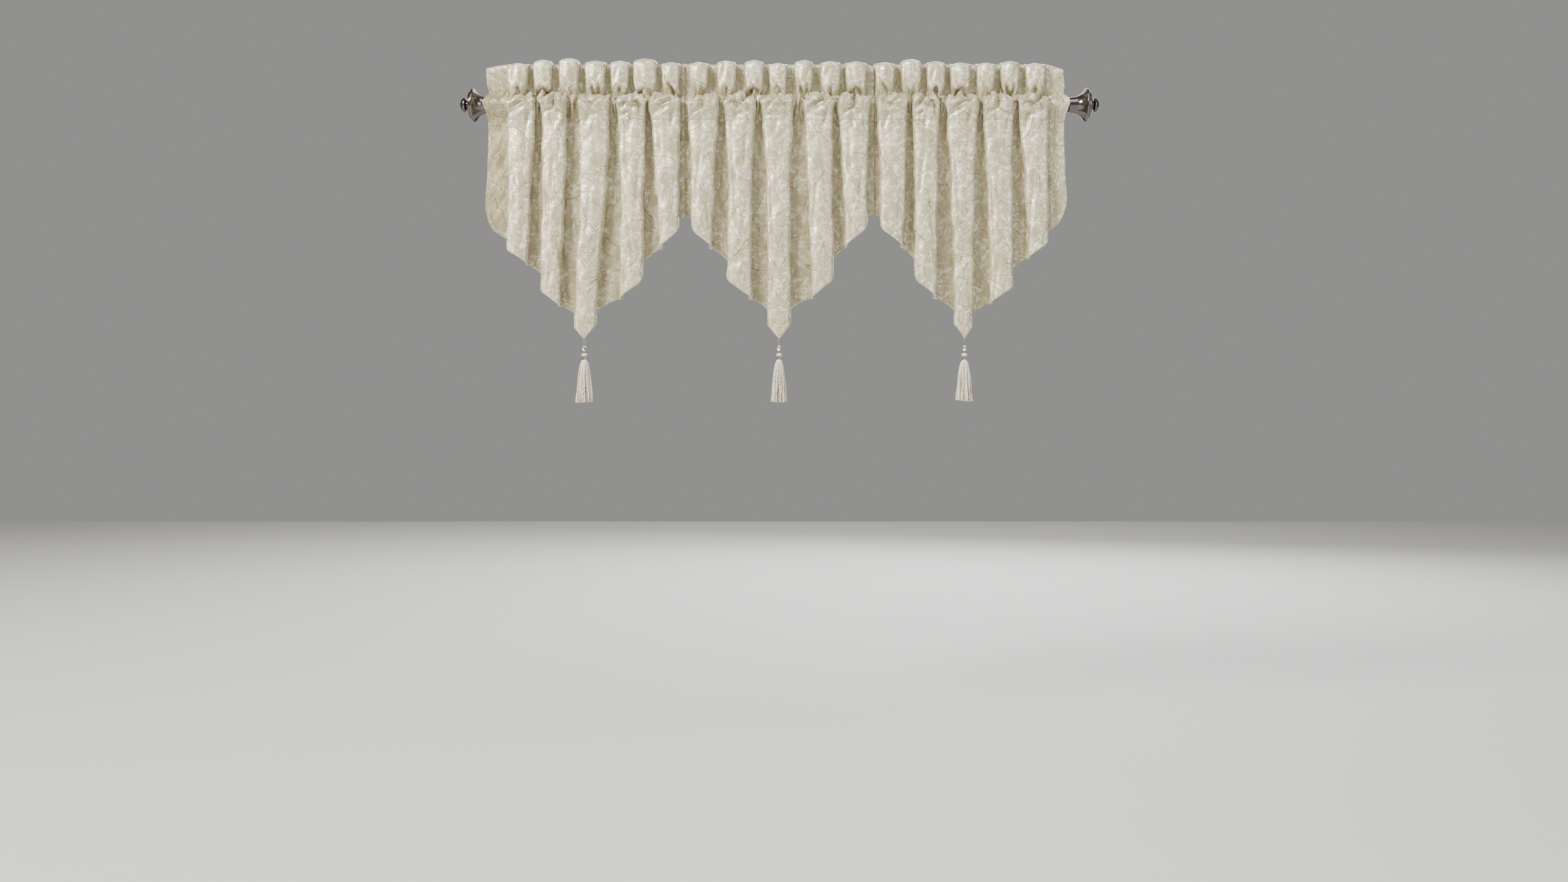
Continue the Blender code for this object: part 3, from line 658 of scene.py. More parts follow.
def mix_colours(share, first, second, blend="MIX"):
    """The first colour mixed with the second by a share."""
    given = {"Factor": share, 6: first, 7: second}
    made = add_node(share.tree, "ShaderNodeMix", given, data_type="RGBA", blend_type=blend)
    return Output(made.outputs[2])


def mix_values(share, first, second):
    """The first value mixed with the second by a share."""
    given = {"Factor": share, 2: first, 3: second}
    return Output(add_node(share.tree, "ShaderNodeMix", given, data_type="FLOAT").outputs[0])


def noise(vector, scale, detail=2.0, distortion=0.0):
    """The outputs of a noise texture: Fac and Color."""
    given = {"Vector": vector, "Scale": scale, "Detail": detail, "Distortion": distortion}
    return outputs_of(add_node(vector.tree, "ShaderNodeTexNoise", given))


def bumped(height, strength, distance):
    """The normal of a surface raised by height times distance."""
    given = {"Strength": strength, "Distance": distance, "Height": height}
    return Output(add_node(height.tree, "ShaderNodeBump", given).outputs["Normal"])


def object_place(tree):
    """Each point's place on the object."""
    return Output(add_node(tree, "ShaderNodeTexCoord").outputs["Object"])


def own_map(tree, name):
    """Each point's place on a UV map."""
    return Output(add_node(tree, "ShaderNodeUVMap", uv_map=name).outputs["UV"])


def own_attribute(tree, name, output="Vector"):
    """An attribute of the mesh."""
    return Output(add_node(tree, "ShaderNodeAttribute", attribute_name=name).outputs[output])


def colour4(colour, share=1.0):
    """A colour with its alpha, darkened to a share of itself."""
    return (*(part * share for part in colour), 1.0)


# Node groups


def new_group(title, inputs, outputs):
    """An empty node group. It gives its own inputs by name, and the inputs of its output node."""
    tree = bpy.data.node_groups.new(title, "ShaderNodeTree")
    for name, kind in inputs.items():
        tree.interface.new_socket(name=name, in_out="INPUT", socket_type="NodeSocket" + kind)
    for name in outputs:
        tree.interface.new_socket(name=name, in_out="OUTPUT", socket_type="NodeSocketFloat")
    return outputs_of(add_node(tree, "NodeGroupInput")), add_node(tree, "NodeGroupOutput").inputs


def place_group(tree, title, **inputs):
    """Places the shared group of this title, built the first time, and gives its outputs by name."""
    if title not in bpy.data.node_groups:
        GROUPS[title](title)
    return outputs_of(add_node(tree, "ShaderNodeGroup", inputs, node_tree=bpy.data.node_groups[title]))


def twill_group(title):
    """Fine diagonal ribs: a sine of the distance along one diagonal, in turns to the metre."""
    given, out = new_group(title, {"Vector": "Vector", "Turns": "Float"}, ["Rib"])
    turns = along_way(given["Vector"], (1.0, 1.0, 0.0)) * given["Turns"]
    link(out, Rib=sine(turns * (2 * math.pi)) * 0.5 + 0.5)


def foil_group(title):
    """Crumpled metal thread: noise stretched along two slants, one or the other in loose clusters. Fleck is
    1 where it passes a threshold that sinks in the clusters, and Amount says how far. The densest clusters
    gather an even bundle of thread too. Crumple is the noise itself."""
    given, out = new_group(title, {"Vector": "Vector", "Amount": "Float"}, ["Fleck", "Crumple"])
    place, amount = given["Vector"], given["Amount"]
    cluster = noise(place, FOIL_CLUSTERS, 3.4)
    slants = []
    for turn, shift in FOIL_SLANTS:
        stretch = {"Location": (shift, shift, 0.0), "Rotation": (0.0, 0.0, turn), "Scale": (1.0, 0.42, 1.0)}
        slanted = Output(add_node(place.tree, "ShaderNodeMapping", {"Vector": place, **stretch}).outputs[0])
        slants.append(noise(slanted, FOIL_THREADS, 1.0, 1.2)["Fac"])
    crumple = mix_values(step_between(cluster["Color"], 0.42, 0.58), *slants)
    least = FOIL_THRESHOLD - step_between(cluster["Fac"], 0.43, 0.57) * amount
    fleck = step_between(crumple, least, least + 0.035)
    bundle = step_between(cluster["Fac"], 0.60, 0.66) * amount * FOIL_BUNDLE
    link(out, Fleck=largest(fleck, bundle), Crumple=crumple)


def dots_group(title):
    """Small dots in slanting rows: the product of two sines, in turns to the metre."""
    given, out = new_group(title, {"Vector": "Vector", "Turns": "Float"}, ["Dot"])
    scale = given["Turns"] * (2 * math.pi)
    one, other = (sine(along_way(given["Vector"], way) * scale) for way in DOT_ROWS)
    link(out, Dot=step_between(one * other, 0.62, 0.9))


def leaves_group(title):
    """The jacquard's leaves from their distances in mm: below nought lies inside a leaf, and larger leaves
    lie over smaller ones. Outline is the strength of a visible outline or rib, Glint that of the bright
    line inside one, and Satin the share of satin weave."""
    given, out = new_group(title, {"Distances": "Vector", "Rib": "Float"}, ["Outline", "Glint", "Satin"])
    large, medium, small = split(given["Distances"])
    in_large, in_medium, in_small = (step_between(each, 0.4, -0.4) for each in (large, medium, small))
    outside_large = 1.0 - in_large
    outline = largest(
        line_at(large, LARGE_LINE.half_wide) * LARGE_LINE.strength,
        line_at(large + INNER_LINE_IN, INNER_LINE.half_wide) * INNER_LINE.strength,
        line_at(given["Rib"], RIB_LINE.half_wide) * in_large * RIB_LINE.strength,
        line_at(medium, MEDIUM_LINE.half_wide) * outside_large * MEDIUM_LINE.strength,
        line_at(small, SMALL_LINE.half_wide) * (outside_large * (1.0 - in_medium)) * SMALL_LINE.strength,
    )
    satin = mix_values(in_small, SATIN.ground, SATIN.small)
    satin = mix_values(in_medium, satin, SATIN.medium)
    satin = mix_values(in_large, satin, SATIN.large)
    satin = mix_values(step_between(large, -4.4, -5.4) * 0.8, satin, SATIN.heart)
    glint = largest(
        line_at(medium + MEDIUM_GLINT_IN, MEDIUM_LINE.half_wide) * outside_large,
        line_at(large + LARGE_GLINT_IN, LARGE_LINE.half_wide),
    )
    link(out, Outline=outline, Glint=glint, Satin=satin)


def patina_group(title):
    """Handled metal: slow tarnish and fine streaks, both from nought to 1."""
    given, out = new_group(title, {"Vector": "Vector", "Streaks": "Float"}, ["Tarnish", "Streak"])
    tarnish = step_between(noise(given["Vector"], 34.0, 3.0)["Fac"], 0.38, 0.66)
    stretched = vector_maths("MULTIPLY", given["Vector"], (0.06, 1.0, 1.0))
    link(out, Tarnish=tarnish, Streak=noise(stretched, given["Streaks"])["Fac"])


GROUPS = {
    "twill": twill_group, "crumpled foil": foil_group, "satin dots": dots_group,
    "jacquard leaves": leaves_group, "patina": patina_group,
}


# Materials


def new_material(title, **values):
    """A material with one Principled shader. Each uniform value is set on the shader's own socket."""
    made = bpy.data.materials.new(title)
    made.use_nodes = True
    shader = made.node_tree.nodes["Principled BSDF"]
    for socket, value in values.items():
        shader.inputs[socket.replace("_", " ")].default_value = value
    return made, made.node_tree, shader.inputs


def jacquard_material(title):
    """Ivory jacquard: satin leaves on a ground of crumpled metal thread, over a fine twill. Painted shade
    darkens it in the valleys, on the folds' walls and in the creases' troughs. Dark lines mark the outlines
    and the two seams, and a band of painted shadow marks the pinch."""
    settings = bpy.context.scene.ascot_cloth
    made, tree, shader = new_material(title, Sheen_Weight=0.35, Sheen_Roughness=0.45, Specular_IOR_Level=0.45)
    place = own_map(tree, "flat cloth")
    rib, above_hem, from_pinch = split(own_attribute(tree, "seam_distance"))
    leaves = place_group(tree, "jacquard leaves", Distances=own_attribute(tree, "leaf_distance"), Rib=rib)
    satin, outline = leaves["Satin"], leaves["Outline"]
    ground = 1.0 - satin
    foil = place_group(tree, "crumpled foil", Vector=place, Amount=ground * 0.24 + 0.02)
    fleck, crumple = foil["Fleck"], (foil["Crumple"] - 0.5) * ground
    twill = place_group(tree, "twill", Vector=place, Turns=TWILL_TURNS)["Rib"]
    dots = place_group(tree, "satin dots", Vector=place, Turns=DOT_TURNS)["Dot"] * satin
    cloud = noise(place, 16.0, 3.0)["Fac"]
    uneven = step_between(cloud, 0.34, 0.60)
    pocket_seam = line_at(split(place)[1] - SEAM_ON_MAP, SEAM_LINE * MM)
    seams = largest(line_at(above_hem - HEM_FACING, FACING_LINE), pocket_seam)
    hem_edge = step_between(above_hem, HEM_EDGE, 0.5 * HEM_EDGE)

    dark, metal = colour4(settings.outline_colour), colour4(settings.fleck_colour)
    edge_colour = [(one + other) / 2 for one, other in zip(settings.satin_colour, settings.fleck_colour)]
    tone = crumple + 0.785 + twill * 0.08 + cloud * 0.30 - dots * 0.16 + leaves["Glint"] * 0.34
    colour = mix_colours(satin, colour4(settings.matte_colour), colour4(settings.satin_colour))
    colour = scaled(colour, tone)
    colour = mix_colours(outline * (uneven * 0.42 + 0.50), colour, dark)
    colour = mix_colours(seams * 0.25, colour, dark)
    # Painted shadow: a dark band along the pinch, under the puffs' feet.
    colour = mix_colours(line_at(from_pinch, PINCH_SHADOW_LINE) * (uneven * 0.3 + 0.15), colour, dark)
    colour = mix_colours(hem_edge * 0.6, colour, colour4(edge_colour))
    colour = mix_colours(fleck, colour, metal)
    # Painted shade: deep in the valleys, on the folds' walls, in creases' troughs and on the left edge strip
    # the colour is multiplied darker; the right strip is painted lighter.
    valley = own_attribute(tree, "valley", "Fac") * 0.7
    colour = mix_colours(valley, colour, colour4(settings.valley_painted_shade), "MULTIPLY")

    raised = satin * -0.5 - outline * 0.45 + crumple * 1.5 + twill * 0.14 - seams * 0.7
    raised = raised - line_at(from_pinch, PINCH_STITCHES) * 0.4
    link(
        shader,
        Base_Color=colour,
        Roughness=satin * -0.15 + 0.46 - fleck * 0.22,
        Metallic=satin * 0.24 + 0.20 + fleck * 0.1,
        Normal=bumped(raised, 0.8, 0.6 * MM),
    )
    return made


def pewter_material(title):
    """Polished brown-grey pewter, darker in its grooves, with a faint tarnish and turning marks."""
    settings = bpy.context.scene.ascot_pole
    made, tree, shader = new_material(title, Metallic=1.0, Specular_Tint=(0.42, 0.37, 0.34, 1.0))
    marks = place_group(tree, "patina", Vector=object_place(tree), Streaks=900.0)
    tarnish, groove = marks["Tarnish"], own_attribute(tree, "groove", "Fac")
    colour = mix_colours(tarnish * 0.5, colour4(settings.metal_colour), colour4(settings.metal_colour, 0.72))
    link(
        shader,
        Base_Color=mix_colours(groove, colour, colour4(settings.groove_colour)),
        Roughness=tarnish * 0.07 + 0.13 + groove * 0.25,
        Normal=bumped(marks["Streak"], 0.12, 0.05 * MM),
    )
    return made


def silver_material(title):
    """Bright silver plate with darker tarnish in patches."""
    silver = bpy.context.scene.ascot_drops.silver_colour
    made, tree, shader = new_material(title, Metallic=1.0, Specular_Tint=(0.36, 0.32, 0.28, 1.0))
    tarnish = place_group(tree, "patina", Vector=object_place(tree))["Tarnish"]
    colour = mix_colours(tarnish * 0.55, colour4(silver), colour4(silver, 0.5))
    link(shader, Base_Color=colour, Roughness=tarnish * 0.12 + 0.16)
    return made


def crystal_material(title):
    """Warm cut glass with a faint haze."""
    glass = colour4(bpy.context.scene.ascot_drops.crystal_colour)
    made, tree, shader = new_material(title, Base_Color=glass, Transmission_Weight=1.0, IOR=1.55)
    link(shader, Roughness=noise(object_place(tree), 300.0, 1.0)["Fac"] * 0.03)
    return made


def pearl_material(title):
    """Pearly glaze whose tint wanders a little towards pink."""
    pearl = bpy.context.scene.ascot_drops.pearl_colour
    made, tree, shader = new_material(title, Coat_Weight=0.6, Coat_Roughness=0.08, Sheen_Weight=0.2)
    cloud = noise(object_place(tree), 260.0)["Fac"]
    pink = [part * tint for part, tint in zip(pearl, (1.04, 0.95, 0.93))]
    link(shader, Base_Color=mix_colours(cloud, colour4(pearl), colour4(pink)), Roughness=cloud * 0.14 + 0.20)
    return made


def yarn_material(title):
    """Twisted yarn: cream strands that lean to taupe with fine random fluff and with painted shade inside
    the tassel and between its clumps, with ribs that wind round each strand.
    """
    settings = bpy.context.scene.ascot_drops
    made, tree, shader = new_material(title, Sheen_Weight=0.4, Sheen_Roughness=0.4)
    ribs = place_group(tree, "twill", Vector=own_map(tree, "round and along"), Turns=1.0)["Rib"]
    fluff = noise(object_place(tree), 420.0)["Fac"]
    # The tint attribute is painted shade, most on the inner strands and between the clumps.
    share = own_attribute(tree, "tint", "Fac") * 0.8 + fluff * 0.8 - 0.54
    colour = mix_colours(share, colour4(settings.light_yarn), colour4(settings.dark_yarn_and_shade))
    link(
        shader,
        Base_Color=scaled(colour, ribs * 0.30 + 0.98),
        Roughness=fluff * 0.25 + 0.40,
        Normal=bumped(ribs, 0.8, 0.35 * MM),
    )
    return made


def floor_material(settings):
    """Pale floor, all but even."""
    made, tree, shader = new_material("pale floor")
    cloud = noise(object_place(tree), 0.8)["Fac"]
    colour = mix_colours(cloud, colour4(settings.floor_colour), colour4(settings.floor_colour, 0.97))
    link(shader, Base_Color=colour, Roughness=cloud * 0.1 + 0.72)
    return made


FINISHES = {
    "jacquard": ("ivory jacquard", jacquard_material),
    "pewter": ("polished pewter", pewter_material),
    "silver": ("silver plate", silver_material),
    "crystal": ("cut crystal", crystal_material),
    "pearl": ("pearl glaze", pearl_material),
    "yarn": ("tassel yarn", yarn_material),
}


def finish_named(name):
    """The material of that name, made the first time that it is asked for."""
    title, make = FINISHES[name]
    return bpy.data.materials.get(title) or make(title)


# Meshes


def grid_faces(rows, columns, closed=True):
    """Quads between neighbours on a grid of points. In a closed grid the last column meets the first."""
    row, column = np.meshgrid(np.arange(rows - 1), np.arange(columns - (not closed)), indexing="ij")
    here = (row * columns + column).ravel()
    beside = (row * columns + (column + 1) % columns).ravel()
    return np.stack([here, beside, beside + columns, here + columns], axis=-1)


def joined(grids):
    """Several grids of points, each closed round, as one list of points and its faces."""
    starts = np.cumsum([0, *(grid.shape[0] * grid.shape[1] for grid in grids)])
    faces = [grid_faces(*grid.shape[:2]) + start for start, grid in zip(starts, grids)]
    return np.concatenate([grid.reshape(-1, 3) for grid in grids]), np.concatenate(faces)


def new_piece(name, points, replaced, slot, faces=None, smooth=True):
    """A mesh object at the origin that rides with the pole in place of its solid, with its slot's finish. The
    points are a grid closed round, or any points whose faces are given."""
    if faces is None:
        faces = grid_faces(*points.shape[:2])
    mesh = bpy.data.meshes.new(name)
    mesh.from_pydata(points.reshape(-1, 3).tolist(), [], faces.tolist())
    mesh.materials.append(finish_named(slot))
    mesh.polygons.foreach_set("use_smooth", np.full(len(mesh.polygons), smooth))
    made = bpy.data.objects.new(name, mesh)
    bpy.context.scene.collection.objects.link(made)
    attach(made, "root")
    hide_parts(replaced)
    return made


def add_attribute(mesh, name, kind, values):
    """An attribute of each vertex: FLOAT or FLOAT_VECTOR."""
    key = "vector" if kind == "FLOAT_VECTOR" else "value"
    mesh.attributes.new(name, kind, "POINT").data.foreach_set(key, np.ascontiguousarray(values).ravel())


def add_map(mesh, name, places):
    """A UV map from one place for each vertex."""
    corners = np.empty(len(mesh.loops), int)
    mesh.loops.foreach_get("vertex_index", corners)
    mesh.uv_layers.new(name=name).data.foreach_set("uv", places.reshape(-1, 2)[corners].ravel())


def close_up(made, sharp_degrees=None):
    """Merges the points that meet at poles and seams, and turns the faces outwards."""
    bm = bmesh.new()
    bm.from_mesh(made.data)
    bmesh.ops.remove_doubles(bm, verts=bm.verts, dist=1e-6)
    bmesh.ops.recalc_face_normals(bm, faces=bm.faces)
    bm.to_mesh(made.data)
    bm.free()
    if sharp_degrees:
        made.data.set_sharp_from_angle(angle=math.radians(sharp_degrees))


def round_angles(count):
    """Even steps of angle once round."""
    return 2 * np.pi * np.arange(count) / count


def turned_points(outline, sides, axis="Z"):
    """A turned profile: each (height, radius) row of the outline carried round the axis."""
    height, out = np.asarray(outline, float).T[..., None]
    angle = round_angles(sides)
    parts = np.broadcast_arrays(height, out * np.cos(angle), out * np.sin(angle))
    return np.stack(parts if axis == "X" else [*parts[1:], parts[0]], axis=-1)


def capped_tube(path, radius, sides, across):
    """A round profile carried along a path, square to it, and closed to a point at both ends. Its first axis
    is the path's direction crossed with across, which the path never runs along, and its second is the first
    crossed with the path's direction."""
    ahead = np.gradient(path, axis=0)
    ahead /= np.linalg.norm(ahead, axis=-1, keepdims=True)
    beside = np.cross(ahead, across)
    beside /= np.linalg.norm(beside, axis=-1, keepdims=True)
    upright = np.cross(beside, ahead)
    angle = round_angles(sides)[:, None]
    points = path[:, None] + radius * (beside[:, None] * np.cos(angle) + upright[:, None] * np.sin(angle))
    return np.concatenate([np.repeat(path[:1, None], sides, 1), points, np.repeat(path[-1:, None], sides, 1)])


def middle_of(node):
    """The middle of a solid's top face, its height, and its radius across, from its box."""
    low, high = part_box(node)
    top = np.array([(low.x + high.x) / 2, (low.y + high.y) / 2, high.z])
    return top, high.z - low.z, (high.x - low.x) / 2


# Cloth


def hermite(t, wide, start, end, start_slope, end_slope):
    """The cubic that runs from start to end over a width with these slopes, at a share t of the way."""
    return (
        (2 * t**3 - 3 * t**2 + 1) * start
        + (t**3 - 2 * t**2 + t) * wide * start_slope
        + (3 * t**2 - 2 * t**3) * end
        + (t**3 - t**2) * wide * end_slope
    )


def curve_through(knots, values, at, level_at_turns):
    """A cubic curve through the knots. With level_at_turns it keeps between its neighbours' values."""
    knots, values = np.asarray(knots, float), np.asarray(values, float)
    widths = np.diff(knots)
    rises = np.diff(values) / widths
    slopes = np.empty_like(values)
    slopes[0], slopes[-1] = rises[0], rises[-1]
    before, after = rises[:-1], rises[1:]
    if level_at_turns:
        turns = before * after <= 0
        total = np.where(turns, 1.0, before + after)
        slopes[1:-1] = np.where(turns, 0.0, 2 * before * after / total)
    else:
        slopes[1:-1] = (values[2:] - values[:-2]) / (knots[2:] - knots[:-2])
    cell = np.clip(np.searchsorted(knots, at, "right") - 1, 0, len(widths) - 1)
    wide = widths[cell]
    t = (at - knots[cell]) / wide
    return hermite(t, wide, values[cell], values[cell + 1], slopes[cell], slopes[cell + 1])


def wave_knots(valance, count):
    """Cloth positions, 0 to 1 across the valance, of its two edges and of seven knots on each wave."""
    wave = (1.0 - (STRIP_SHARE if valance.strip else 0.0)) / count
    lead = STRIP_SHARE if valance.strip == "left" else 0.0
    rising = (VALLEY_SHARE, WALL_SHARE, SHOULDER_SHARE, CROWN_SHARE)
    steps = np.cumsum((*rising, CROWN_SHARE, SHOULDER_SHARE, WALL_SHARE))
    inner = [lead + wave * (index + step) for index in range(count) for step in steps]
    return np.array([0.0, *inner, 1.0])


def point_place(valance):
    """Cloth position of the hem's point: the crown of the middle fold."""
    knots = wave_knots(valance, len(valance.folds))
    return knots[len(knots) // 2]


def strip_opening(valance, at):
    """How much wider the pocket is at each cloth position: only in the edge strip, most at its edge."""
    if valance.strip == "left":
        nearness = 1 - at / STRIP_SHARE
    elif valance.strip == "right":
        nearness = 1 - (1 - at) / STRIP_SHARE
    else:
        nearness = np.zeros_like(at)
    return 1 + STRIP_OPENING * np.clip(nearness, 0.0, 1.0)


def plan_of(valance, middles, widths, tuck, at):
    """One level in plan, in mm: where the cloth lies across, and its share of standing out, 1 on a crown."""
    across, out = [valance.left], [0.0]
    for middle, wide in zip(middles, widths):
        half = wide / 2
        root = half * (1 - 2 * tuck)
        shoulder = half * SHOULDER_AT
        across += [middle + side for side in (-root, -half, -shoulder, 0.0, shoulder, half, root)]
        out += [0.0, WALL_OUT, SHOULDER_OUT, 1.0, SHOULDER_OUT, WALL_OUT, 0.0]
    knots = wave_knots(valance, len(middles))
    return (
        curve_through(knots, [*across, valance.right], at, False),
        curve_through(knots, [*out, 0.0], at, True),
    )


def skirt_across(valance, at, height, tuck):
    """Where the skirt's cloth lies across at each height, between its three plans, and how it stands out."""
    folds = valance.folds
    tables = (
        ([fold.pocket_at for fold in folds], [fold.pocket_wide * PILLOW_SPREAD for fold in folds]),
        ([fold.mid_at for fold in folds], [fold.mid_wide for fold in folds]),
        ([fold.hem_at for fold in folds], [fold.hem_wide for fold in folds]),
    )
    plans = [plan_of(valance, middles, widths, tuck, at) for middles, widths in tables]
    upper = np.clip(height / MID_SKIRT, 0.0, 1.0)
    lower = np.clip((height - MID_SKIRT) / (HEM_LEVEL - MID_SKIRT), 0.0, MOST_LEAN)
    across = plans[0][0] * (1 - upper) + plans[1][0] * upper
    return (across + (plans[2][0] - plans[1][0]) * lower) * MM, plans[1][1]


def hem_climb(waves):
    """How far the hem has climbed at a place so many waves of cloth away from its point."""
    return curve_through(*zip(*HEM_CLIMB), waves, True)


def hem_height(valance, at):
    """Height of the hem: from its point to each side edge it climbs in soft steps, one to each fold, by the
    share that hem_climb has risen there of its whole rise to that edge."""
    point = point_place(valance)
    knots = wave_knots(valance, len(valance.folds))
    wave = knots[1 + KNOTS_A_WAVE] - knots[1]
    rise = np.where(at < point, valance.hem_left, valance.hem_right) - valance.hem_point
    span = np.where(at < point, point, 1 - point)
    away = hem_climb(np.abs(at - point) / wave) / hem_climb(span / wave)
    return (valance.hem_point + rise * away) * MM


def top_height(valance, at):
    """Height of the heading's top edge: a little dome on each puff, level between two of them."""
    knots = wave_knots(valance, len(valance.puffs))
    tops = [valance.top_left * MM]
    for puff in valance.puffs:
        crown = puff.top * MM
        wall = (crown + VALLEY_TOP) / 2
        shoulder = crown - PUFF_DOME * MM
        tops += [VALLEY_TOP, wall, shoulder, crown, shoulder, wall, VALLEY_TOP]
    return curve_through(knots, [*tops, valance.top_right * MM], at, True)


def level_rows(valance, at):
    """The cloth's middle surface at each level, from the front hem over the heading to the seam behind."""
    hem, top = hem_height(valance, at), top_height(valance, at)
    opening = strip_opening(valance, at)
    rows = []
    for level in SKIRT_LEVELS:
        height = hem + (SEAM_HEIGHT * MM - hem) * level.share
        across, out = skirt_across(valance, at, height, FOLD_TUCK)
        rows.append((across, (level.plane - level.stand_out * out) * MM, height))
    for level in UPPER_LEVELS:
        height = top - level.drop * MM if level.height is None else np.full_like(at, level.height * MM)
        plane = np.full_like(at, level.plane)
        if level.height is not None and abs(level.height) < POLE_RING:
            height, plane = height * opening, plane * opening
        tuck = FOLD_TUCK if level.stand_out > DEEP_FOLD else -FOLD_TUCK
        across, out = skirt_across(valance, at, np.minimum(height, 0.0), tuck)
        puffs = valance.puffs
        wide = [p.wide * level.puff_width for p in puffs]
        puff_across, puff_out = plan_of(valance, [p.at for p in puffs], wide, tuck, at)
        across = across * (1 - level.heading) + puff_across * MM * level.heading
        out = out * (1 - level.heading) + puff_out * level.heading
        rows.append((across, (plane - level.stand_out * out) * MM, height))
    return np.array([np.stack(row, axis=-1) for row in rows])


def smooth_between(levels, counts):
    """Rows between the levels: on each column a cubic through its own points, whose knots are their distances
    along that column and whose slope at each is that of the line between its two neighbours."""
    chords = np.linalg.norm(np.diff(levels, axis=0), axis=-1, keepdims=True)
    slopes = np.empty_like(levels)
    slopes[0] = (levels[1] - levels[0]) / chords[0]
    slopes[-1] = (levels[-1] - levels[-2]) / chords[-1]
    slopes[1:-1] = (levels[2:] - levels[:-2]) / (chords[1:] + chords[:-1])
    level = np.repeat(np.arange(len(counts)), counts)
    t = np.concatenate([np.arange(count) / count for count in counts])[:, None, None]
    rows = hermite(t, chords[level], levels[level], levels[level + 1], slopes[level], slopes[level + 1])
    return np.concatenate([rows, levels[-1:]])


def wandering(waves, across, down):
    """The sum of slow sine waves over the cloth, each its share, at places in metres."""
    total = 0.0
    for wave in waves:
        turns = wave.across * across + wave.down * down
        total = total + wave.share * np.sin(2 * np.pi * turns + wave.shift)
    return total


def rise_of(crease, points, middle, mirrored):
    """How far one crease lifts each point, in mm: a bell along its length times a bell across it."""
    side = -1 if mirrored else 1
    lean = math.radians(crease.lean) * side
    aside = points[..., 0] / MM - middle - crease.aside * side
    above = points[..., 2] / MM - crease.height
    along = aside * math.sin(lean) + above * math.cos(lean)
    across = aside * math.cos(lean) - above * math.sin(lean)
    return crease.rise * np.exp(-((along / crease.long) ** 2) - (across / crease.wide) ** 2)


def creases_at(points, middles, sets, start):
    """All creases of these sets, one set at each middle in turn, in mm."""
    total = np.zeros(points.shape[:2])
    for index, middle in enumerate(middles, start):
        depth = 1 + CREASE_UNEVEN * math.sin(CREASE_STEP * index)
        for crease in sets[index % len(sets)]:
            total += depth * rise_of(crease, points, middle, index % 2 == 1)
    return total


def faded(value, start, end):
    """0 up to start, 1 from end on, and a smooth rise between. start may be the larger."""
    t = np.clip((value - start) / (end - start), 0.0, 1.0)
    return t * t * (3 - 2 * t)


def bell(value, middle, half_wide):
    """1 at the middle, and less by the square of the distance from it in half widths."""
    return np.exp(-(((value - middle) / half_wide) ** 2))


def outward(points):
    """Unit normals of a grid of points: across its columns, crossed with along its rows."""
    across, along = np.gradient(points, axis=1), np.gradient(points, axis=0)
    normal = np.cross(across, along)
    return normal / np.linalg.norm(normal, axis=-1, keepdims=True)


def pinch_lift(across, number, fold_out, puff_out):
    """How far the cloth is lifted at the pinch, in mm: up on each fold's crown, down under each puff, and
    up and down in uneven waves along the cloth."""
    most, fast = PINCH_BUNCHED
    turns = across / PINCH_WAVE + most * np.sin(across * fast + number)
    lift = PINCH_DOME * (fold_out - 0.5) - PUFF_HANG * (puff_out - 0.5)
    return lift + PINCH_WAVE_RISE * np.sin(2 * np.pi * turns)


def shift_edges(valance, points, at, height, before_top):
    """Moves the side edges: a free one draws in by its table, and one that meets another valance laps it."""
    within = np.clip(height, EDGE_DRAW_HEIGHTS[0], EDGE_DRAW_HEIGHTS[-1])
    draw = curve_through(EDGE_DRAW_HEIGHTS, EDGE_DRAW_DEPTHS, within, True) * MM
    for name, way, edge in (("left", 1, 0.0), ("right", -1, 1.0)):
        if valance.strip == name:
            more = RIGHT_TOP_DRAW * MM * faded(height, *RIGHT_TOP_REACH) if name == "right" else 0.0
            nearness = 1 - faded(at, edge, edge + way * EDGE_DRAW_REACH * STRIP_SHARE)
            points[..., 0] += way * (draw + more) * nearness
        else:
            lap = faded(at, edge + way * LAP_SHARE, edge) * before_top
            points[..., 0] -= way * LAP_ASIDE * MM * lap
            points[..., 1] += way * LAP_APART * MM * lap


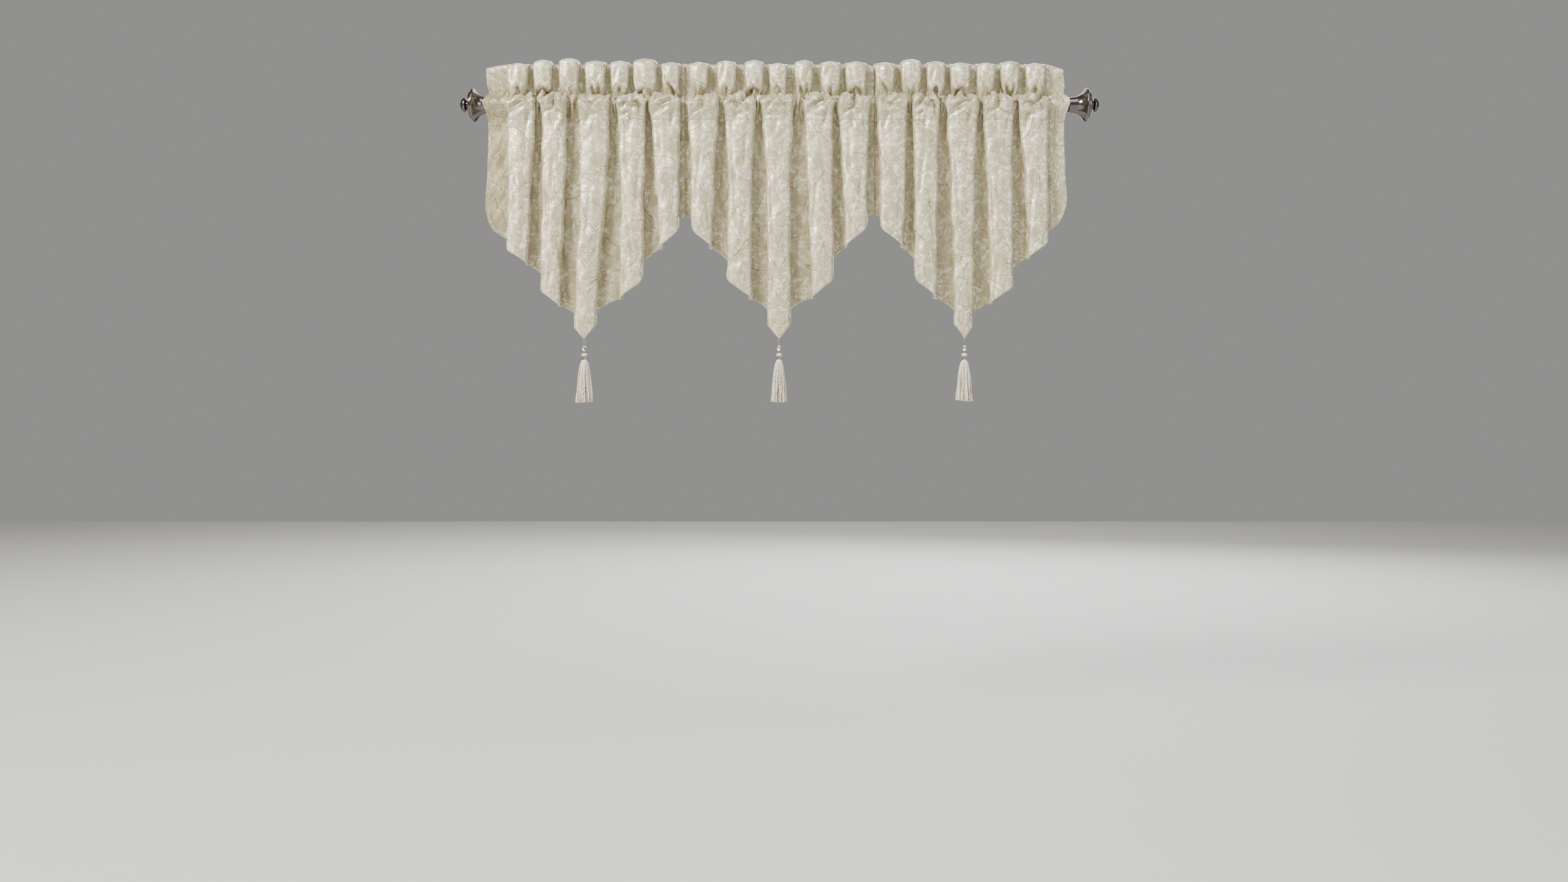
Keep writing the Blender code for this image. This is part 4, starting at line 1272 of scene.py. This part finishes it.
def crease_rise(valance, number, points, flat, above_hem, height, below_pocket):
    """How far creases, ruches, seams and the cloth's wander lift each point of the smooth folds, in mm."""
    folds, puffs = valance.folds, valance.puffs
    first_fold, first_puff = number * len(folds), number * len(puffs)
    middles = [(fold.mid_at + fold.pocket_at) / 2 for fold in folds]
    pockets = [fold.pocket_at for fold in folds]
    right = [fold.pocket_at + fold.pocket_wide / 2 for fold in folds[:-1]]
    left = [fold.pocket_at - fold.pocket_wide / 2 for fold in folds[1:]]
    valleys = [(one + other) / 2 for one, other in zip(right, left)]
    rise = PUFF_DEPTH * creases_at(points, [puff.at for puff in puffs], PUFF_CREASES, first_puff)
    rise += PILLOW_DEPTH * creases_at(points, pockets, PILLOW_CREASES, first_fold)
    below_seam = faded(height, SEAM_HEIGHT, SEAM_HEIGHT - 20)
    rise += creases_at(points, middles, SKIRT_CREASES, first_fold) * below_seam
    rise += creases_at(points, valleys, VALLEY_PLEATS, first_fold)
    most, fast = RUCHE_BUNCHED
    ruche = np.sin(2 * np.pi * flat[..., 0] / RUCHE_CLOTH + most * np.sin(flat[..., 0] * fast + number))
    rise += RUCHE_RISE * ruche * bell(height, RUCHE_MIDDLE, RUCHE_BAND)
    wander = DEPTH_WANDER_MOST / MM * wandering(DEPTH_WANDER, flat[..., 0] + number, flat[..., 1])
    rise += wander * below_pocket
    rise -= SEAM_GROOVE * bell(flat[..., 1] / MM, 0.0, SEAM_GROOVE_WIDE)
    rise -= HEM_CURL * np.exp(-above_hem / HEM_CURL_REACH)
    return rise * (CREASE_AT_HEM + (1 - CREASE_AT_HEM) * faded(above_hem, 0.0, CREASE_FULL_FROM))


def valley_shade(valance, at, out, rise, near_pinch):
    """How much painted shade darkens the cloth's colour: deep between the folds, in a band on their walls,
    and in the creases' troughs, most at the pinch. A valance's edge strip has its own: more painted shade on
    the left one, and the right one is painted lighter."""
    trough = np.clip(-rise / DARKEST_TROUGH, 0.0, 1.0) * (TROUGH_SHADE + PINCH_SHADE * near_pinch)
    wall = WALL_SHADE * bell(out, WALL_SHADE_AT, WALL_SHADE_WIDE)
    shade = np.clip((1 - out) ** SHADE_POWER + wall + trough, 0.0, MOST_SHADE)
    return shade + STRIP_SHADE.get(valance.strip, 0.0) * (strip_opening(valance, at) > 1)


def cloth_grid(valance, number, columns, crease_depth):
    """The draped sheet as a grid of points, their places on the flat cloth, how far each lies above the hem
    and from the pinch in mm, and how much painted shade darkens it."""
    at = np.linspace(0.0, 1.0, columns)
    at[np.argmin(np.abs(at - point_place(valance)))] = point_place(valance)
    counts = [level.rows for level in (*SKIRT_LEVELS, *UPPER_LEVELS)][:-1]
    points = smooth_between(level_rows(valance, at), counts)
    steps = np.linalg.norm(np.diff(points, axis=0), axis=-1)
    along = np.concatenate([np.zeros((1, columns)), np.cumsum(steps, axis=0)])
    seam_row, pinch_row, top_row = (sum(counts[:level]) for level in (SEAM_LEVEL, PINCH_LEVEL, TOP_LEVEL))
    flat = np.stack([np.broadcast_to(at * FLAT_WIDTH, along.shape), along - along[seam_row]], axis=-1)
    above_hem = along / MM
    from_pinch = (along - along[pinch_row]) / MM

    front = (np.arange(len(points)) <= top_row)[:, None]
    before_top = front * faded((along[top_row] - along) / MM, 0.0, TOP_FADE)
    height = points[..., 2] / MM
    folds = [(fold.pocket_at, fold.pocket_wide) for fold in valance.folds]
    puffs = [(puff.at, puff.wide) for puff in valance.puffs]
    fold_out, puff_out = (plan_of(valance, *zip(*table), FOLD_TUCK, at)[1] for table in (folds, puffs))
    near_pinch = bell(height, RUCHE_MIDDLE, PINCH_DOME_REACH)
    points[..., 2] += pinch_lift(flat[..., 0], number, fold_out, puff_out) * MM * near_pinch * front
    shift_edges(valance, points, at, height, before_top)
    below_pocket = faded(height, SEAM_HEIGHT + POCKET_FADE[0], SEAM_HEIGHT - POCKET_FADE[1])
    inside_edges = faded(at, 0.0, 0.02) * faded(at, 1.0, 0.98)
    sideways = EDGE_WANDER_MOST * wandering(EDGE_WANDER, flat[..., 0] + number, flat[..., 1])
    points[..., 0] += sideways * below_pocket * front * inside_edges

    normal = outward(points)
    rise = crease_rise(valance, number, points, flat, above_hem, height, below_pocket)
    points += normal * (rise * before_top * crease_depth * MM)[..., None]
    heading = faded(height, RUCHE_MIDDLE - HEADING_FADE, RUCHE_MIDDLE + HEADING_FADE)
    out = np.clip(fold_out * (1 - heading) + puff_out * heading, 0.0, 1.0)
    return points, flat, above_hem, from_pinch, valley_shade(valance, at, out, rise, near_pinch) * before_top


def motif_distance(motif, across, along):
    """Distance in mm outside one motif, below nought inside, and the distance from its middle rib. Inside
    its length it is the distance across beyond its half width there, which is its full half width times a
    power of the way to the tip and a power of the way to the root. Past its ends it is the distance from
    the end."""
    turn = math.radians(motif.turn)
    aside = across * math.cos(turn) + along * math.sin(turn)
    ahead = along * math.cos(turn) - across * math.sin(turn)
    t = np.clip(ahead / motif.long, -1.0, 1.0)
    aside = aside - motif.bend * (t * t - 0.4)
    widest = (motif.root - motif.tip) / (motif.root + motif.tip)
    full = (1 - widest) ** motif.tip * (1 + widest) ** motif.root
    half = motif.wide * (1 - t) ** motif.tip * (1 + t) ** motif.root / full
    past = np.abs(ahead) - motif.long
    return np.where(past > 0, np.hypot(aside, past), np.abs(aside) - half), aside


def nearest_motif(motifs, across, along, repeat):
    """The least distance over a list of motifs, and the rib distance of the one that it is from, in mm. With
    repeat, places are wrapped round each motif so that the list fills the cloth."""
    nearest = np.full(across.shape, FAR_AWAY)
    rib = np.full(across.shape, FAR_AWAY)
    for motif in motifs:
        aside, ahead = across - motif.across, along - motif.along
        if repeat:
            wide, long = REPEAT_ACROSS / MM, REPEAT_ALONG / MM
            aside = (aside + wide / 2) % wide - wide / 2
            ahead = (ahead + long / 2) % long - long / 2
        distance, beside = motif_distance(motif, aside, ahead)
        nearer = distance < nearest
        nearest = np.where(nearer, distance, nearest)
        rib = np.where(nearer, beside, rib)
    return nearest, rib


def leaf_fields(valance, number, flat):
    """Distances to the large, medium and small motifs of the jacquard, and to the large ones' ribs, in mm."""
    shifted = flat + np.array([1.0, 1.7]) * number * REPEAT_SHIFT
    places = shifted[..., 0], shifted[..., 1]
    across, along = (
        place / MM + LEAF_WARP_MOST * wandering(waves, *places)
        for place, waves in zip(places, (LEAF_WARP_ASIDE, LEAF_WARP_AHEAD))
    )
    large, rib = nearest_motif(LARGE_MOTIFS, across, along, True)
    medium, _ = nearest_motif(MEDIUM_MOTIFS, across, along, True)
    small, _ = nearest_motif(SMALL_MOTIFS, across, along, True)
    from_point = flat[..., 0] / MM - point_place(valance) * FLAT_WIDTH / MM
    over_point = flat[..., 1] / MM - (valance.hem_point - SEAM_HEIGHT)
    plume, plume_rib = nearest_motif(PLUME_MOTIFS, from_point, over_point, False)
    # Round the plume the repeat's own large leaves give way to it.
    large = np.maximum(large, 6.0 - plume)
    nearer = plume < large
    return np.where(nearer, plume, large), medium, small, np.where(nearer, plume_rib, rib)


def make_valance(valance, number, settings):
    """One valance: the sheet with its thickness, its flat map and the fields that its weave is drawn from."""
    points, flat, above_hem, from_pinch, shade = cloth_grid(
        valance, number, settings.columns, settings.crease_depth
    )
    faces = grid_faces(*points.shape[:2], closed=False)
    made = new_piece("sheet_" + valance.name, points, "valance_" + valance.name, "jacquard", faces)
    *distances, rib = leaf_fields(valance, number, flat)
    add_attribute(made.data, "leaf_distance", "FLOAT_VECTOR", np.stack(distances, axis=-1))
    add_attribute(made.data, "seam_distance", "FLOAT_VECTOR", np.stack([rib, above_hem, from_pinch], axis=-1))
    # The valley attribute carries the painted shade of the cloth.
    add_attribute(made.data, "valley", "FLOAT", shade)
    add_map(made.data, "flat cloth", flat + np.array([0.0, SEAM_ON_MAP]))
    cloth = made.modifiers.new("cloth thickness", "SOLIDIFY")
    cloth.thickness = settings.thickness
    cloth.offset = 0.0
    lengths = flat[-1, :, 1] - flat[0, :, 1]


# Pole and drops


def make_pole(sides):
    """The plain rod and two finials: turned profiles, darker where a finial's outline is hollow."""
    half, chamfer = ROD_HALF_LENGTH, ROD_CHAMFER
    end = [(half - chamfer, ROD_RADIUS), (half, ROD_RADIUS - chamfer), (half, 0.0)]
    outline = [*((-along, out) for along, out in reversed(end)), *end]
    close_up(new_piece("pole", turned_points(outline, sides, "X"), "rod", "pewter"), 30)
    table = np.array(FINIAL_OUTLINE) * MM
    steps = np.linalg.norm(np.diff(table, axis=0), axis=1)
    knots = np.concatenate([[0.0], np.cumsum(steps)])
    at = np.unique(np.concatenate([knots, np.linspace(0.0, knots[-1], 120)]))
    along, out = (curve_through(knots, table[:, column], at, True) for column in (0, 1))
    out[-1] = 0.0
    beside = [np.interp(at + shift, at, out) for shift in (-GROOVE_REACH, GROOVE_REACH)]
    groove = faded(np.mean(beside, axis=0) - out, *GROOVE_DEPTHS)
    for name, side in (("left", -1), ("right", 1)):
        rows = [(side * (half + TOUCH_GAP), 0.0), *zip(side * (half + TOUCH_GAP + along), out)]
        points = turned_points(rows, sides, "X")
        finial = new_piece("trumpet_" + name, points, "finial_" + name, "pewter")
        add_attribute(finial.data, "groove", "FLOAT", np.repeat([groove[0], *groove], sides))
        close_up(finial, 50)


def oval_ring(middle, half_wide, half_tall, radius, turned_by):
    """A wire ring: a round profile carried round an upright oval, which is turned about its height."""
    angle = round_angles(EYE_POINTS)
    facing = np.array([math.cos(turned_by), math.sin(turned_by), 0.0])
    upright = np.array([0.0, 0.0, 1.0])
    through = np.cross(facing, upright)
    path = middle + np.outer(half_wide * np.sin(angle), facing) + np.outer(half_tall * np.cos(angle), upright)
    out = np.outer(np.sin(angle) / half_wide, facing) + np.outer(np.cos(angle) / half_tall, upright)
    out /= np.linalg.norm(out, axis=1, keepdims=True)
    around = round_angles(WIRE_SIDES)[:, None]
    points = path[:, None] + radius * (out[:, None] * np.cos(around) + through * np.sin(around))
    return np.concatenate([points, points[:1]])


def wire_wrap(top, tall, radius, wire, turns):
    """A wire wound down round an upright axis from top."""
    share = np.linspace(0.0, 1.0, 16 * turns)
    angle = 2 * np.pi * turns * share
    path = top + np.stack([radius * np.cos(angle), radius * np.sin(angle), -tall * share], axis=-1)
    return capped_tube(path, wire, WIRE_SIDES, (0.0, 0.0, 1.0))


def make_wires(side):
    """The eye through the point with its wrapped tail, and the little link under the crystal."""
    top, tall, half = middle_of("drop_eye_" + side)
    loop_tall = tall * EYE_LOOP_SHARE
    half_tall = loop_tall / 2
    ring_size = half - WIRE_RADIUS, half_tall - WIRE_RADIUS, WIRE_RADIUS
    loop = oval_ring(top - [0, 0, half_tall], *ring_size, EYE_TURNED)
    tail_top = top - [0, 0, loop_tall - 2.2 * WIRE_RADIUS]
    tail = wire_wrap(tail_top, tall - loop_tall, TAIL_RADIUS, LINK_WIRE, WRAP_TURNS)
    middle, tall, _ = middle_of("link_" + side)
    link_size = LINK_HALF_WIDE, tall / 2 - LINK_WIRE, LINK_WIRE
    ring = oval_ring(middle - [0, 0, tall / 2], *link_size, LINK_TURNED)
    core = wire_wrap(middle, tall, CORE_RADIUS, CORE_WIRE, WRAP_TURNS)
    pieces = (("wire_eye_", "drop_eye_", (loop, tail)), ("wire_link_", "link_", (ring, core)))
    for name, replaced, grids in pieces:
        points, faces = joined(grids)
        close_up(new_piece(name + side, points, replaced + side, "silver", faces))


def make_crystal(side):
    """A cut bead: rings of corners, each turned half a step from the last, joined by flat triangles."""
    top, tall, radius = middle_of("crystal_" + side)
    share, out = np.array([(0.0, 0.0), *CRYSTAL_RINGS, (1.0, 0.0)]).T[..., None]
    half_steps = 0.5 * (np.arange(len(share)) % 2)[:, None]
    turn = (np.arange(CRYSTAL_SIDES) + half_steps) * 2 * np.pi / CRYSTAL_SIDES
    parts = np.broadcast_arrays(out * radius * np.cos(turn), out * radius * np.sin(turn), -share * tall)
    quads = grid_faces(len(share), CRYSTAL_SIDES)
    turned = ((quads[:, 0] // CRYSTAL_SIDES) % 2 == 1)[:, None]
    first = np.where(turned, quads[:, [0, 1, 2]], quads[:, [0, 1, 3]])
    second = np.where(turned, quads[:, [0, 2, 3]], quads[:, [1, 2, 3]])
    points, faces = top + np.stack(parts, axis=-1), np.concatenate([first, second])
    close_up(new_piece("cut_bead_" + side, points, "crystal_" + side, "crystal", faces, smooth=False))


def make_rondelle(side):
    """A pearly lobed bead: an oval outline carried round, whose radius swells on each lobe."""
    top, tall, radius = middle_of("rondelle_" + side)
    rise = np.linspace(-np.pi / 2, np.pi / 2, 22)
    outline = np.stack([np.sin(rise) * tall / 2 - tall / 2, radius * np.cos(rise) ** 0.8], axis=-1)
    points = turned_points(np.maximum(outline, [-1.0, 0.0]), 72)
    angle = np.arctan2(points[..., 1], points[..., 0])
    swell = 1 - RONDELLE_LOBE_DEPTH * np.abs(np.sin(RONDELLE_LOBES * angle / 2)) ** 6
    points[..., :2] *= swell[..., None]
    close_up(new_piece("pearl_bead_" + side, points + top, "rondelle_" + side, "pearl"))


def make_sleeve(side):
    """A silver cap on the tassel: its outline carried round, milled on its two rims."""
    top, tall, radius = middle_of("sleeve_" + side)
    share, out = np.array([(0.0, 0.0), *SLEEVE_OUTLINE]).T
    points = turned_points(np.stack([(share - 1) * tall, out * radius], axis=-1), 104)
    angle = np.arctan2(points[..., 1], points[..., 0])
    milled = 1 + SLEEVE_MILLING * np.cos(SLEEVE_MILLS * angle) * (out > SLEEVE_RIM)[:, None] - SLEEVE_MILLING
    points[..., :2] *= milled[..., None]
    close_up(new_piece("silver_cap_" + side, points + top, "sleeve_" + side, "silver"), 35)


def strand_paths(order, angle, top, tall, radius, yarn):
    """The path of each strand and its share of the way out. Strand k starts at its angle, k golden angles
    round the head's foot, and as far out as the root of its share of the strands. It flares by a power of
    the way down, sways, crinkles, and draws aside to its clump."""
    share_out = np.sqrt((order + 0.5) / len(order))
    down = np.linspace(0.0, 1.0, STRAND_ROWS)[None]
    start = TASSEL_HEAD_TALL * 0.35
    length = tall - start - STRAND_UNEVEN * (0.5 + 0.5 * np.sin(order * 2.4 + 1.0)) * np.sqrt(share_out)
    reach = share_out * (radius - yarn) * (1.0 - 0.06 * np.sin(order * 5.1))
    root = share_out * (TASSEL_HEAD_RADIUS - 1.4 * yarn)
    out = root[:, None] + (reach - root)[:, None] * down**STRAND_FLARE
    out = out - STRAND_DRAW_IN * np.sin(down * 9.0 + order[:, None] * 2.7) * down
    wave = np.sin(down * (5.0 + 3.0 * np.sin(order * 1.3))[:, None] + order[:, None] * 1.9)
    crinkle = np.sin(2 * np.pi * CRINKLE_TURNS * down + order[:, None] * 2.1)
    aside = STRAND_SWAY * wave * down + STRAND_CRINKLE * crinkle * np.sqrt(down)
    drawn = angle[:, None] + CLUMP_DRAW / CLUMPS * np.sin(CLUMPS * angle)[:, None] * down
    cos, sin = np.cos(drawn), np.sin(drawn)
    parts = (out * cos - aside * sin, out * sin + aside * cos, -start - length[:, None] * down)
    return top + np.stack(parts, axis=-1), share_out


def make_tassel(side, count, yarn):
    """A turned head and its strands, each a thin tube, with painted shade on the inner strands and on those
    between the clumps.
    """
    top, tall, radius = middle_of("tassel_" + side)
    order = np.arange(count)
    angle = order * GOLDEN_ANGLE + SIDES.index(side)
    path, share_out = strand_paths(order, angle, top, tall, radius, yarn)
    down = np.linspace(0.0, 1.0, STRAND_ROWS)[None]
    taper = np.interp(down, (0.0, 0.9, 1.0), (0.8, 1.0, 0.7))
    thick = yarn * (0.86 + 0.14 * np.sin(order * 3.3))[:, None] * taper
    turn = round_angles(STRAND_SIDES)
    ring = np.stack([np.cos(turn), np.sin(turn), np.zeros(STRAND_SIDES)], axis=-1)
    ends = [np.repeat(path[:, row, None, None], STRAND_SIDES, 2) for row in (0, -1)]
    strands = np.concatenate([ends[0], path[:, :, None] + ring * thick[..., None, None], ends[1]], axis=1)
    head = turned_points(np.array(HEAD_OUTLINE) * [TASSEL_HEAD_TALL, TASSEL_HEAD_RADIUS], HEAD_SIDES) + top
    points, faces = joined([*strands, head])
    made = new_piece("yarn_tassel_" + side, points, "tassel_" + side, "yarn", faces)

    # Painted shade: strands between the clumps and inside the tassel lean to the dark yarn colour.
    between = 0.5 + 0.5 * np.cos(CLUMPS * angle + 0.6 * np.sin(order * 2.3))
    tint = np.clip(0.85 * between**0.9 + INNER_PAINTED_SHADE * (share_out < 0.86), 0.0, 1.0)
    tints = [np.repeat(tint, strands[0].size // 3), np.full(head.size // 3, HEAD_TINT)]
    add_attribute(made.data, "tint", "FLOAT", np.concatenate(tints))
    rounds = (np.arange(STRAND_SIDES) / STRAND_SIDES * 2, np.arange(HEAD_SIDES) / 2)
    places = [
        np.stack(np.broadcast_arrays(around, (top[2] - part[..., 2]) / YARN_TWIST), axis=-1).reshape(-1, 2)
        for around, part in zip(rounds, (strands, head))
    ]
    add_map(made.data, "round and along", np.concatenate(places))
    close_up(made)


# Stage


def make_floor(settings):
    """A wide level floor under the object."""
    half = FLOOR_HALF_WIDE
    steps = np.linspace(-half, half, 3)
    x, y = np.meshgrid(steps, steps)
    points = np.stack([x, y, np.full_like(x, FLOOR_HEIGHT)], axis=-1)
    mesh = bpy.data.meshes.new("floor")
    mesh.from_pydata(points.reshape(-1, 3).tolist(), [], grid_faces(3, 3, closed=False).tolist())
    mesh.materials.append(floor_material(settings))
    floor = bpy.data.objects.new("floor", mesh)
    bpy.context.scene.collection.objects.link(floor)


def aim(made, target):
    """Turns a lamp to face its target."""
    way = np.array(target) - np.array(made.location)
    made.rotation_euler = (math.atan2(math.hypot(way[0], way[1]), -way[2]), 0.0, math.atan2(-way[0], way[1]))


def make_lights(settings):
    """Square lamps, each a share of the key light's power."""
    for lamp in LAMPS:
        data = bpy.data.lights.new(lamp.name, "AREA")
        data.shape = "SQUARE"
        data.size = lamp.wide
        data.energy = settings.light_power * lamp.power
        data.color = lamp.colour
        made = bpy.data.objects.new(lamp.name, data)
        made.location = lamp.place
        bpy.context.scene.collection.objects.link(made)
        aim(made, lamp.aim)


def make_surround(settings):
    """Even light from all round."""
    world = bpy.data.worlds.new("surround")
    world.use_nodes = True
    back = world.node_tree.nodes["Background"]
    back.inputs["Color"].default_value = colour4(settings.surround_colour)
    back.inputs["Strength"].default_value = settings.surround_strength
    bpy.context.scene.world = world


def make_camera():
    """A level camera in front of the object."""
    data = bpy.data.cameras.new("camera")
    data.lens = CAMERA_LENS
    made = bpy.data.objects.new("camera", data)
    made.location = CAMERA_PLACE
    made.rotation_euler = (math.pi / 2, 0.0, 0.0)
    bpy.context.scene.collection.objects.link(made)
    bpy.context.scene.camera = made


# Operators


class MakeStage(bpy.types.Operator):
    """Add the floor, the lights, the surround and the camera"""

    bl_idname = "ascot.make_stage"
    bl_label = "Stage"

    def execute(self, context):
        settings = context.scene.ascot_stage
        make_floor(settings)
        make_lights(settings)
        make_surround(settings)
        make_camera()
        return {"FINISHED"}


class MakePole(bpy.types.Operator):
    """Add the rod and its two trumpet finials"""

    bl_idname = "ascot.make_pole"
    bl_label = "Pole and finials"

    def execute(self, context):
        make_pole(context.scene.ascot_pole.sides)
        return {"FINISHED"}


class MakeValances(bpy.types.Operator):
    """Add the three gathered valances"""

    bl_idname = "ascot.make_valances"
    bl_label = "Valances"

    def execute(self, context):
        for number, valance in enumerate(VALANCES):
            make_valance(valance, number, context.scene.ascot_cloth)
        return {"FINISHED"}


class MakeWires(bpy.types.Operator):
    """Add the wire eye and link of each drop"""

    bl_idname = "ascot.make_wires"
    bl_label = "Wires"

    def execute(self, context):
        for side in SIDES:
            make_wires(side)
        return {"FINISHED"}


class MakeBeads(bpy.types.Operator):
    """Add the cut bead, pearly bead and silver cap of each drop"""

    bl_idname = "ascot.make_beads"
    bl_label = "Beads and caps"

    def execute(self, context):
        for side in SIDES:
            make_crystal(side)
            make_rondelle(side)
            make_sleeve(side)
        return {"FINISHED"}


class MakeTassels(bpy.types.Operator):
    """Add the three yarn tassels"""

    bl_idname = "ascot.make_tassels"
    bl_label = "Tassels"

    def execute(self, context):
        settings = context.scene.ascot_drops
        for side in SIDES:
            make_tassel(side, settings.strands, settings.yarn_radius)
        return {"FINISHED"}


class ValancePanel(bpy.types.Panel):
    """Lists the pieces of the valances and their settings"""

    bl_idname = "VIEW3D_PT_ascot_valances"
    bl_label = "Ascot valances"
    bl_space_type = "VIEW_3D"
    bl_region_type = "UI"
    bl_category = "Valances"

    def draw(self, context):
        for operator in OPERATORS:
            self.layout.operator(operator.bl_idname)
        for name, _ in SETTINGS:
            group = getattr(context.scene, name)
            box = self.layout.box()
            for key in group.bl_rna.properties.keys():
                if key not in ("name", "rna_type"):
                    box.prop(group, key)


OPERATORS = (MakeStage, MakePole, MakeValances, MakeWires, MakeBeads, MakeTassels)
SETTINGS = (
    ("ascot_cloth", ClothSettings),
    ("ascot_pole", PoleSettings),
    ("ascot_drops", DropSettings),
    ("ascot_stage", StageSettings),
)


def register():
    """Adds the settings, operators and panel to Blender."""
    for name, group in SETTINGS:
        bpy.utils.register_class(group)
        setattr(bpy.types.Scene, name, bpy.props.PointerProperty(type=group))
    for kind in (*OPERATORS, ValancePanel):
        bpy.utils.register_class(kind)


def unregister():
    """Takes them out again."""
    for kind in (ValancePanel, *reversed(OPERATORS)):
        bpy.utils.unregister_class(kind)
    for name, group in reversed(SETTINGS):
        delattr(bpy.types.Scene, name)
        bpy.utils.unregister_class(group)


def main():
    """Makes every piece and the stage."""
    register()
    for make in (
        bpy.ops.ascot.make_stage,
        bpy.ops.ascot.make_pole,
        bpy.ops.ascot.make_valances,
        bpy.ops.ascot.make_wires,
        bpy.ops.ascot.make_beads,
        bpy.ops.ascot.make_tassels,
    ):
        make()


if __name__ == "__main__":
    main()
